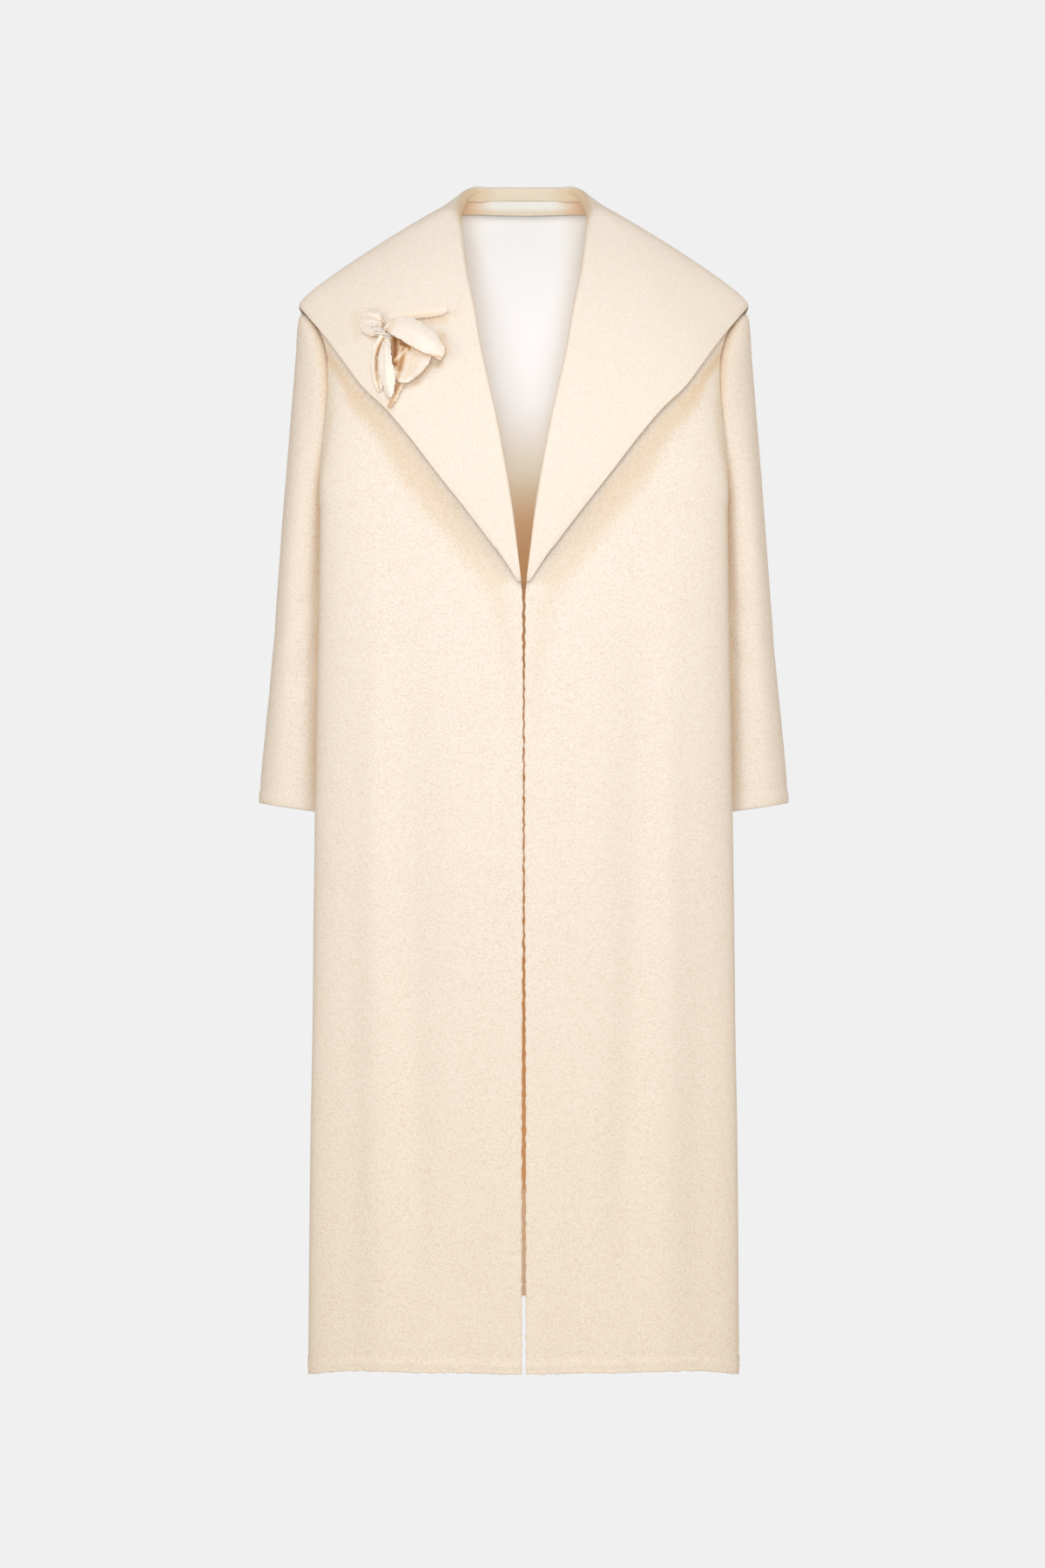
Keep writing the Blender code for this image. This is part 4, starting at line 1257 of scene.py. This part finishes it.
def steel_finish():
    """Dull bent wire, drawn along its length and a little uneven."""
    f = Finish("steel_wire", Metallic=1.0)
    marks = f.noise(f.place(), 900.0, 3.0, 0.6)
    f.feed("Base Color", f.mix(marks, (0.40, 0.36, 0.30, 1), (0.62, 0.58, 0.50, 1)))
    f.feed("Roughness", 0.28 + marks * 0.2)
    f.feed("Normal", f.bump(marks, 0.0001, 0.4))
    return f.material


boucle = boucle_finish()
crepe = crepe_finish("ribbed_crepe", 0.0018, (0.912, 0.832, 0.730), 0.14, 1.0, extra=roll_shade)
satin = satin_finish()
lining_white = lining_finish()
petal_cloth = crepe_finish("petal_cloth", 0.0012, (0.950, 0.866, 0.765), 0.06, 0.45, "UV")
yarn = crepe_finish("petal_yarn", 0.0009, (0.965, 0.885, 0.775), 0.0, 0.4)
fluff_yarn = crepe_finish("petal_fluff", 0.0009, (1.0, 0.955, 0.88), 0.0, 0.2)
crystal = crystal_finish()
steel = steel_finish()

# ---------------------------------------------------------------- shade beside the collar and arms

half = collar_half()


def from_line(across, up, line):
    """Distance from a line of points, seen from the front, how far along it, and its lower side."""
    best = np.full(across.shape, 9.0)
    along = np.zeros_like(best)
    lower = np.zeros_like(best)
    for k, (start, step) in enumerate(zip(line, np.diff(line, axis=0))):
        t = ((across - start[0]) * step[0] + (up - start[1]) * step[1]) / (step @ step)
        t = np.clip(t, 0, 1)
        off_x = across - start[0] - t * step[0]
        off_z = up - start[1] - t * step[1]
        away = np.hypot(off_x, off_z)
        closer = away < best
        best = np.where(closer, away, best)
        along = np.where(closer, (k + t) / (len(line) - 1), along)
        lower = np.where(closer, step[0] * off_z - step[1] * off_x < 0, lower)
    return best, along, lower


def stepped(t, first, *changes):
    """A value that changes in eased steps: by how much, from which t, and over how much of t."""
    value = first
    for change, start, over in changes:
        value = value + change * ease((t - start) / over)
    return value


def under_collar(grid):
    """Shade below the collar's edge and beside the break.

    It is level for its width, then fades over as much again. From the break up to the shoulder it
    narrows in two steps and deepens in two.
    """
    across, up = np.abs(grid[..., 0]), grid[..., 2]
    away, along, lower = from_line(across, up, half[:COLLAR_AHEAD + 1, -1, (0, 2)])
    away = np.where(lower > 0, away, 0)
    width = stepped(along, 0.022, (-0.0055, 0.38, 0.12), (-0.007, 0.56, 0.12))
    depth = stepped(along, 0.155, (0.090, 0.0, 0.32), (0.16, 0.42, 0.32))
    fade = ease((away - 0.002) / 0.006) * (1 - ease((away - width) / width))
    below = depth * fade * ease(along / 0.03)
    return np.maximum(below, strokes(BREAK_SHADE, across, up, np.maximum) * (lower > 0))


def arm_line(up):
    """Half-width of the body's edge beside the sleeve: the armhole, then the lap below it."""
    level = np.clip((up + UNDERARM) / (UNDERARM + SHOULDER[2]), 0, 1)
    armhole = ARMPIT[0] + (SHOULDER[0] - ARMPIT[0]) * level - scoop(level)
    to_lap = (size("lap", UNDERARM) - ARMPIT[0]) * (1 - ease(level / 0.45))
    return np.where(-up > UNDERARM, size("lap", -up), armhole + to_lap)


def beside_arm(grid, reach_out, reach_in, depth):
    """Shade in the crease between body and sleeve, on the front, fading out at the cuff.

    Across the crease it is a bell, with one reach outwards and another inwards.
    """
    off = np.abs(grid[..., 0]) - arm_line(grid[..., 2])
    reach = np.where(off > 0, reach_out, reach_in)
    front = ease((0.010 - grid[..., 1]) / 0.03)
    return depth * bell(off / reach) * front * ease((grid[..., 2] + 0.70) / 0.10)


# ---------------------------------------------------------------- body


def panel(name, grid, up, tuck, side):
    """Lays the folds, the turned hem and the yarn edge on a panel. Returns grid and inward way."""
    out = normals(grid)
    row, column = len(out) // 3, out.shape[1] // 2
    out = facing(out, row, column, grid[row, column] * (1, 1, 0))
    drop = -grid[..., 2]
    rise = drop[0][None] - drop
    to_seam = (1 - tuck)[None]
    # Folds fade out towards the side seam and above the underarm; the seam itself is drawn in.
    bend = folds(name, side, drop) * ease(to_seam / 0.6) * ease((0.30 - up[:, None]) / 0.30)
    bend += hem_roll(rise) * ease(to_seam / 0.25)
    bend -= 0.0005 * bell(to_seam / 0.10) * ease(rise / 0.05)
    grid = grid + out * bend[..., None]
    hem_nubs = nubs(side[0] * np.sign(grid[0, :, 0] + 1e-9), len(name)) * ease(to_seam[0] / 0.2)
    grid[..., 2] += hem_nubs[None] * bell(rise / 0.004)
    return grid, -out


def front_panel(name, seed):
    """A front, with an uneven yarn edge down its opening below the break."""
    grid, up, tuck = half_panel(True, ACROSS_FRONT, TUCK_FRONT)
    side = around_from_centre(grid)
    grid, inward = panel(name, grid, up, tuck, side)
    drop = -grid[:, 0, 2]
    wander = nubs(drop, seed, EDGE_NUBS) * ease((drop - BREAK_DROP) / 0.02)
    wander = np.clip(wander, EDGE_LEAST, EDGE_MOST)
    grid[..., 0] += wander[:, None] * bell((side - side[:, :1]) / 0.006)
    return grid, inward


def square_to(seam):
    """Thickening directions along a shoulder seam: downward, square to it, level front to back."""
    way = unit(np.cross(np.gradient(seam, axis=0), (0, 1.0, 0)))
    return np.where(way[:, 2:3] > 0, -way, way)


def stand_back(edge, beside):
    """Moves the points of an edge away from its seam, towards the points beside them."""
    edge += unit(beside - edge) * SEAM


left, left_in = front_panel("front_left", 3)
right, right_in = front_panel("front_right", 8)
half_back, up_back, tuck_back = half_panel(False, ACROSS_BACK, TUCK_BACK)
around = around_from_centre(half_back)
back, back_in = panel("back", both_sides(half_back), up_back,
                      np.concatenate((tuck_back[:0:-1], tuck_back)),
                      np.concatenate((-around[:, :0:-1], around), 1))

# Both cloths of a side seam are thickened the same way, and so are both of a shoulder seam.
under = int((up_back == 0).sum())
for front_in, column, hand in ((left_in, -1, 1), (right_in, 0, -1)):
    shared = unit(front_in[:under, -1] * (hand, 1, 1) + back_in[:under, column])
    back_in[:under, column] = shared
    front_in[:under, -1] = shared * (hand, 1, 1)
centre = back.shape[1] // 2
neck = centre + int(np.argmin(np.abs(half_back[-1, :, 0] - NECK_X)))
left_seam, right_seam = slice(neck, None), slice(0, back.shape[1] - neck)
left_in[-1] = square_to(left[-1])
right_in[-1] = square_to(right[-1])
back_in[-1, left_seam] = square_to(back[-1, left_seam])
back_in[-1, right_seam] = mirrored(back_in[-1, left_seam])[::-1]

for grid in (left, right):
    stand_back(grid[-1], grid[-2])
    stand_back(grid[:, -1], grid[:, -2])
stand_back(back[:, -1], back[:, -2])
stand_back(back[:, 0], back[:, 1])
for seam in (left_seam, right_seam):
    stand_back(back[-1, seam], back[-2, seam])

shade_left, shade_right = (
    np.maximum(under_collar(grid), beside_arm(grid, 0.006, 0.0045, 0.16)) for grid in (left, right)
)
front_left = cloth("coat_front_left", left, left_in, WOOL, boucle, (0.45, 0, 0.45, 0),
                   shade=shade_left)
front_right = cloth("coat_front_right", mirrored(right), mirrored(right_in), WOOL, boucle,
                    (0.45, 0, 0.45, 0), shade=shade_right)
back_piece = cloth("coat_back", back, back_in, WOOL, boucle, (0.45, 0, 0, 0))

# ---------------------------------------------------------------- sleeves


def sleeve(name, hand, shade_depth):
    """A sleeve on the side that the hand says, 1 or -1, with its shade beside the body."""
    tube, out = sleeve_tube(name)
    return cloth("coat_" + name, tube * (hand, 1, 1), -out * (hand, 1, 1), WOOL, boucle,
                 (0, 0.45, 0, 0), closed=True, shade=beside_arm(tube, 0.0085, 0.02, shade_depth))


sleeve_left = sleeve("sleeve_left", 1, 0.40)
sleeve_right = sleeve("sleeve_right", -1, 0.38)

# ---------------------------------------------------------------- collar


def collar_piece():
    """The whole collar, thinned towards its free edge, with the flower's shade on it.

    At the back neck the stand is drawn down until its foot meets the neckline's tilt.
    """
    one = half.copy()
    foot = BACK_NECK_Z + 0.0008 - NECK_TILT * (BACK_NECK_Y - one[:, 0, 1])
    extra = np.clip(one[:, 0, 2] - foot, 0, 0.02) * ease((one[:, 0, 1] - 0.036) / 0.008)
    one[:, :len(STAND), 2] -= extra[:, None] * STAND
    grid = np.concatenate((one, mirrored(one)[-2::-1]))
    out = facing(normals(grid), 40, -10, (0, -1, 0))
    to_edge = np.arange(grid.shape[1]) - (grid.shape[1] - 6)
    thin = 0.45 * ease(to_edge / 5.0)[None, :, None]
    grid = grid - out * CREPE * thin
    flower_side = ((grid[..., 0] < 0) & (grid[..., 1] < 0)).astype(float)
    shade = flower_side * strokes(COLLAR_SHADE, (grid[..., 0] - KNOT["x"]) * 1000,
                                  (grid[..., 2] - KNOT["z"]) * 1000, np.maximum)
    return cloth("coat_collar", grid, -out * (1 - thin), CREPE, crepe, (0, 0, 0, 0.35), shade=shade)


collar = collar_piece()

# ---------------------------------------------------------------- neck band and back lining

# The band runs along the neckline to BAND_END, inside the wool by BAND_OFF. Its top and foot follow
# the neck's tilt; the foot rises a little and the top a little more towards the sides of the neck.
BAND_END = 0.0732
BAND_OFF = 0.0016
neck_edge = half_back[-1]
band_columns = int(np.argmin(np.abs(neck_edge[:, 0] - BAND_END))) + 1
neck_in = back_in[-1, centre:centre + band_columns]
band_top = neck_edge[:band_columns] + neck_in * (WOOL + BAND_OFF)
band_top[:, 2] = BACK_NECK_Z + 0.0009 - NECK_TILT * (BACK_NECK_Y - band_top[:, 1])
band_foot = band_top[:, 2] - BAND_DROP - 0.0016 + 0.0014 * ease(band_top[:, 0] / 0.070)
band_top[:, 2] += 0.0013 * ease((band_top[:, 0] - 0.038) / 0.008)


def neck_band():
    """Satin strip inside the back neck: straight down from its top to its foot, with a seam line."""
    share = np.linspace(1, 0, BAND_ROWS)[:, None, None]
    height = (band_top[:, 2] - band_foot)[None, :, None]
    grid = band_top[None] - np.array((0, 0, 1.0)) * height * share
    grid = both_sides(grid - neck_in * 0.0003 * bell((share - 0.93) / 0.05))
    inward = np.zeros_like(grid)
    inward[...] = unit(np.cross(np.gradient(grid[-1], axis=0), (0, 0, 1.0)))[None]
    inward = facing(inward, 0, grid.shape[1] // 2, (0, -1, 0))
    return cloth("coat_neck_band", grid, inward, SATIN, satin, (0.3, 0.3, 0, 0))


def back_lining():
    """Lining: the back's own rows from near the hem up to the band, moved in by the wool.

    Between the band's ends its top follows the band's foot; beyond them it eases up to the
    shoulder. Each column takes even steps up the back's rows, with a straight blend between two.
    Its shade grows from half-way out to the edge of what the opening shows of it from EYE, and is
    level beyond that.
    """
    lap = ACROSS_BACK - 1
    foot_drop = UNDERARM + (SHAPES["back"]["hem"][0] - UNDERARM) * LINING_FOOT
    first = int(np.argmin(np.abs(-back[:, centre, 2] - foot_drop)))
    reach = np.abs(np.arange(-lap, lap + 1))
    neck_top = np.interp(reach, np.arange(band_columns), band_foot + 0.0030) + UNDERARM
    neck_top = neck_top / (neck_edge[reach, 2] + UNDERARM)
    band_end = neck_top[lap + band_columns - 1]
    to_shoulder = band_end + (LINING_TOP - band_end) * ease((reach - band_columns) / 8.0)
    top = np.where(reach < band_columns, neck_top, to_shoulder)
    top_row = np.interp(top, up_back, np.arange(len(up_back)))
    where = first + (top_row[None] - first) * np.linspace(0, 1, LINING_ROWS)[:, None]
    low = np.floor(where).astype(int)
    high = np.minimum(low + 1, len(back) - 1)
    part = (where - low)[..., None]
    columns = np.arange(centre - lap, centre + lap + 1)[None]
    near_top = ease((back[..., 2] + 0.012) / 0.012)[..., None]
    moved = back + back_in * (WOOL + LINING_OFF - LINING_CLOSER * near_top)
    grid = moved[low, columns] * (1 - part) + moved[high, columns] * part
    level = EYE_DROP - (grid[..., 2] + EYE_DROP) / SEEN_LARGER
    beside = np.abs(grid[..., 0]) / (SEEN_LARGER * half_gap(level))
    shade = 0.21 * ease((beside - 0.50) / 0.50) * ease((grid[..., 2] + 0.36) / 0.10)
    return cloth("coat_back_lining", grid, back_in[low, columns], LINING, lining_white,
                 (0.3, 0.3, 0.3, 0.3), shade=shade)


band = neck_band()
lining = back_lining()

# ---------------------------------------------------------------- flower

# The collar's leaf near the knot, fitted by a smooth surface that the flower lies on.
leaf = mirrored(half)[:, len(STAND) + ROLL_COLUMNS:].reshape(-1, 3)
leaf = leaf[leaf[:, 1] < -0.01]
near = leaf[np.hypot(leaf[:, 0] - KNOT["x"], leaf[:, 2] - KNOT["z"]) < 0.09]


def powers(x, z):
    """The six terms of a second-degree surface about the knot: 1, x, z, x squared, xz, z squared."""
    x = (np.asarray(x) - KNOT["x"]) * 10
    z = (np.asarray(z) - KNOT["z"]) * 10
    return np.stack((np.ones_like(x), x, z, x * x, x * z, z * z), -1)


fit = np.linalg.lstsq(powers(near[:, 0], near[:, 2]), near[:, 1], rcond=None)[0]


def off_collar(across, up, lift):
    """Point a lift in front of the collar, by millimetres across and up from the knot."""
    x = KNOT["x"] + np.asarray(across) / 1000
    z = KNOT["z"] + np.asarray(up) / 1000
    return np.stack((x, powers(x, z) @ fit - np.asarray(lift) / 1000, z), -1)


def wavering(s, rates, rng):
    """Four sine waves along a petal, each with a phase of its own, added together."""
    return sum(np.sin(s * rate + phase) for rate, phase in zip(rates, rng.uniform(0, 6, 4)))


def petal_grid(name, rows, columns, frill, seed):
    """A petal: its edges carried smoothly along its length, domed between, pleated and frilled.

    Returns the grid and the shade of each point.
    """
    table = keyed(np.array(FLOWER[name], float))
    s = np.linspace(0, len(table) - 1, rows)
    left_x, left_z, right_x, right_z, lift_left, lift_right, dome = (
        through(table, k, s)[:, None] for k in range(1, 8)
    )
    t = np.linspace(0, 1, columns)[None]
    rng = np.random.default_rng(seed)
    wave = wavering(s[:, None], (2.6, 4.3, 7.9, 12.0), rng)
    ruffle = wavering(s[:, None], (2.9, 5.1, 9.7, 14.0), rng)
    edge = (2 * t - 1) ** 3
    across = left_x + (right_x - left_x) * t + edge * ruffle * frill * 0.8
    up = left_z + (right_z - left_z) * t + np.abs(edge) * wave * frill * 0.35
    lift = lift_left + (lift_right - lift_left) * t + dome * 4 * t * (1 - t)
    lift = lift + frill * wave * np.abs(edge) + strokes(PLEATS[name], across, up)
    lift = np.maximum(lift, LEAST_LIFT)
    deep = strokes([line for line in SHADES[name] if line[5] > 0], across, up, np.maximum)
    pale = strokes([line for line in SHADES[name] if line[5] < 0], across, up)
    return off_collar(across, up, lift), np.clip(deep + pale, 0, 1)


# Rows, columns and millimetres of frill of each flower piece.
PETAL_GRIDS = {
    "petal_domed": (90, 56, 0.30),
    "petal_cupped": (90, 64, 0.30),
    "leaf_middle": (110, 40, 0.22),
    "leaf_left": (100, 36, 0.20),
    "leaf_flat": (80, 24, 0.25),
    "tuft": (70, 52, 0.75),
    "twist": (36, 24, 0.30),
    "stem": (50, 20, 0.30),
}
petals = {}
grids = {}
for number, (name, (rows, columns, frill)) in enumerate(PETAL_GRIDS.items()):
    grid, shade = petal_grid(name, rows, columns, frill, number)
    out = facing(normals(grid), rows // 2, columns // 2, (0, -1, 0))
    petals[name] = cloth("flower_" + name, grid, -out, PETAL, petal_cloth, (0.4, 0.4, 0.4, 0.4),
                         shade=shade)
    grids[name] = grid, out


def fringe(name, piece, rows, column, way, count, length, radius, curl, seed):
    """Frayed yarns along one column of a petal, heading one way as seen from the front."""
    rng = np.random.default_rng(seed)
    grid, out = grids[piece]
    at = rng.uniform(*rows, count) * (len(grid) - 1)
    low = np.floor(at).astype(int)
    part = (at - low)[:, None]
    high = np.minimum(low + 1, len(grid) - 1)
    line = int(round(column * (grid.shape[1] - 1)))
    start = grid[low, line] * (1 - part) + grid[high, line] * part + out[low, line] * 0.0003
    heading = np.array((way[0], 0, way[1]), float) + rng.normal(size=(count, 3)) * (0.22, 0.10, 0.30)
    heading += out[low, line] * 0.12
    reach = rng.uniform(*length, count) / 1000
    return threads(name, start, heading, reach, radius, curl, yarn, seed + 50)


def fluff(count=520):
    """The tuft: fine soft yarns lying outward all over it, a few more of them towards its sides."""
    rng = np.random.default_rng(21)
    grid, out = grids["tuft"]
    row = (rng.uniform(0, 1, count) * (len(grid) - 1)).astype(int)
    column = (rng.beta(0.8, 0.8, count) * (grid.shape[1] - 1)).astype(int)
    start = grid[row, column] + out[row, column] * 0.0002
    middle = grid.mean((0, 1)) + np.array((0.006, 0, -0.006))
    heading = unit(start - middle) * (0.8, 0.1, 0.8) + out[row, column] * 0.10
    heading += rng.normal(size=(count, 3)) * (0.60, 0.06, 0.60)
    return threads("flower_tuft_fluff", start, heading, rng.uniform(0.0010, 0.0032, count),
                   0.00009, 0.6, fluff_yarn, 22)


def binding(count=26):
    """Yarns wound across the knot, from the crystals over to the domed petal, on a half-round."""
    rng = np.random.default_rng(31)
    spread = np.sort(rng.uniform(-1, 1, count))
    start = off_collar(-7.5 + rng.uniform(-0.8, 0.8, count), -0.6 + spread * 1.1,
                       8.6 + np.sqrt(1 - spread ** 2) * 1.4)
    heading = np.array((1.0, -0.12, -0.16)) + rng.normal(size=(count, 3)) * 0.02
    return threads("flower_binding", start, heading, rng.uniform(0.015, 0.0175, count), 0.00034,
                   0.03, yarn, 32, 9)


# Fringes: name, petal, share of the way along it where they start and end, share of the way across
# it, their way across and up, how many, shortest and longest in millimetres, radius, curl.
FRINGES = (
    ("flower_leaf_left_fray", "leaf_left", (0.10, 0.98), 0.40, (1.0, -0.35), 170,
     (1.2, 2.8), 0.00013, 0.35),
    ("flower_leaf_middle_fray", "leaf_middle", (0.25, 0.99), 0.0, (-1.0, -0.5), 90,
     (0.5, 1.3), 0.00012, 0.4),
    ("flower_leaf_tip_fray", "leaf_middle", (0.80, 1.0), 1.0, (0.7, -1.0), 40,
     (0.8, 2.0), 0.00012, 0.4),
    ("flower_cup_fray", "petal_cupped", (0.05, 1.0), 1.0, (0.8, -0.6), 150,
     (0.5, 1.2), 0.00012, 0.4),
    ("flower_flat_fray", "leaf_flat", (0.12, 1.0), 1.0, (0.05, -1.0), 220,
     (1.2, 2.8), 0.00012, 0.2),
    ("flower_stem_fray", "stem", (0.0, 1.0), 1.0, (0.9, -0.7), 60,
     (0.6, 1.5), 0.00012, 0.4),
)
# Each piece of trim, with the petal that it is frayed from or wound on.
frays = [(fringe(*row, seed), row[1]) for seed, row in enumerate(FRINGES, 1)]
frays += [(fluff(), "tuft"), (binding(), "twist")]

# ---------------------------------------------------------------- what stands for what

PIECES = (
    (front_left, "front_left", "boucle_wool"),
    (front_right, "front_right", "boucle_wool"),
    (back_piece, "back", "boucle_wool"),
    (sleeve_left, "sleeve_left", "boucle_wool"),
    (sleeve_right, "sleeve_right", "boucle_wool"),
    (collar, "collar", "ribbed_crepe"),
    (band, "neck_band", "satin_strip"),
    (lining, "back_lining", "white_lining"),
) + tuple((petals[name], name, "petal_cloth") for name in FLOWER)
for piece, node, finish_slot in PIECES:
    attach(piece, "root")
    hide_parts(node)

for piece, _ in frays:
    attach(piece, "root")

# These show their own solids, in their real finishes.
for node, finish in (("hook", steel), ("eye", steel), ("flower_base", yarn),
                     *((f"crystal_{k}", crystal) for k in range(1, 6))):
    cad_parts[node].data.materials.clear()
    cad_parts[node].data.materials.append(finish)

# Each piece's frays are gathered here, and not used.
for piece, node, _ in PIECES:
    [fray for fray, on in frays if on == node]

# ---------------------------------------------------------------- floor, backdrop, light, camera


def ring_mesh(name, radii, heights, finish, around=96):
    """A surface of turning: rings of given radius and height about the vertical through the coat."""
    turn = np.linspace(0, 2 * math.pi, around + 1)[:-1]
    r, z = np.array(radii)[:, None], np.array(heights)[:, None]
    points = np.stack(np.broadcast_arrays(r * np.cos(turn), r * np.sin(turn), z), -1).reshape(-1, 3)
    index = np.arange(len(points)).reshape(len(radii), around)
    wide = np.concatenate((index, index[:, :1]), 1)
    faces = np.stack((wide[:-1, :-1], wide[:-1, 1:], wide[1:, 1:], wide[1:, :-1]), -1).reshape(-1, 4)
    obj = add_mesh(name, points, faces, finish)
    return obj


BACKDROP_RADIUS = 14
BACKDROP_MIDDLE = -0.6
FLOOR = -1.78
glow = Finish("backdrop", Roughness=1.0, Base_Color=(0, 0, 0, 1), Specular_IOR_Level=0,
              Emission_Color=(0.8714, 0.8714, 0.8714, 1), Emission_Strength=1.0)
arc = np.linspace(0.02, math.pi - 0.02, 40)
backdrop = ring_mesh("backdrop", BACKDROP_RADIUS * np.sin(arc),
                     BACKDROP_MIDDLE + BACKDROP_RADIUS * np.cos(arc), glow.material)
for ray in ("diffuse", "glossy", "transmission", "volume_scatter", "shadow"):
    setattr(backdrop, "visible_" + ray, False)
matt = Finish("floor", Roughness=1.0, Base_Color=(0.86, 0.86, 0.86, 1))
ring_mesh("floor", (0.001, 0.3, 0.6, 0.88), (FLOOR,) * 4, matt.material)

world = bpy.data.worlds.new("studio")
world.use_nodes = True
world.node_tree.nodes["Background"].inputs["Color"].default_value = (1.0, 0.89, 0.77, 1)
world.node_tree.nodes["Background"].inputs["Strength"].default_value = 0.35
bpy.context.scene.world = world


def softbox(name, place, aim, width, height, power, colour):
    """A flat lamp that the camera doesn't see, turned from its place towards its aim."""
    light = bpy.data.lights.new(name, "AREA")
    light.shape = "RECTANGLE"
    light.size = width
    light.size_y = height
    light.energy = power
    light.color = colour
    obj = bpy.data.objects.new(name, light)
    obj.location = place
    way = np.array(aim, float) - np.array(place, float)
    flat = math.hypot(way[0], way[1])
    obj.rotation_euler = (math.atan2(flat, -way[2]), 0, math.atan2(-way[0], way[1]))
    obj.visible_camera = False
    bpy.context.scene.collection.objects.link(obj)


DAYLIGHT = (0.937, 0.994, 1.088)
WARM_WHITE = (1, 0.95, 0.88)
softbox("key", (-0.12, -2.5, -0.25), (0, 0, -0.3), 0.9, 0.9, 24.2, DAYLIGHT)
softbox("high", (0.05, -2.2, 1.3), (0, 0, -0.3), 1.6, 1.0, 19, DAYLIGHT)
softbox("side_left", (2.4, -1.4, -0.2), (0, 0, -0.5), 1.2, 1.6, 20, WARM_WHITE)
softbox("side_right", (-2.4, -1.4, -0.2), (0, 0, -0.5), 1.2, 1.6, 19, WARM_WHITE)
softbox("behind", (0.3, 3.2, 0.6), (0, 0, -0.6), 2.6, 2.0, 84, (1, 0.98, 0.95))
softbox("inside", (0.0, -0.09, -0.86), (0, 0.1, -0.86), 0.10, 0.84, 0.34, (1.0, 0.66, 0.38))
softbox("neck", (0.0, -0.06, -0.175), (0, 0.1, -0.18), 0.05, 0.13, 0.074, (0.96, 1.0, 1.05))

EYE = (-0.00135, -2.95, -EYE_DROP)
camera = bpy.data.cameras.new("camera")
camera.sensor_fit = "VERTICAL"
camera.sensor_height = 36
camera.sensor_width = 36
camera.lens = 62.22
camera_object = bpy.data.objects.new("camera", camera)
camera_object.location = EYE
camera_object.rotation_euler = (math.pi / 2, 0, 0)
bpy.context.scene.collection.objects.link(camera_object)
bpy.context.scene.camera = camera_object
bpy.context.scene.view_settings.view_transform = "Standard"
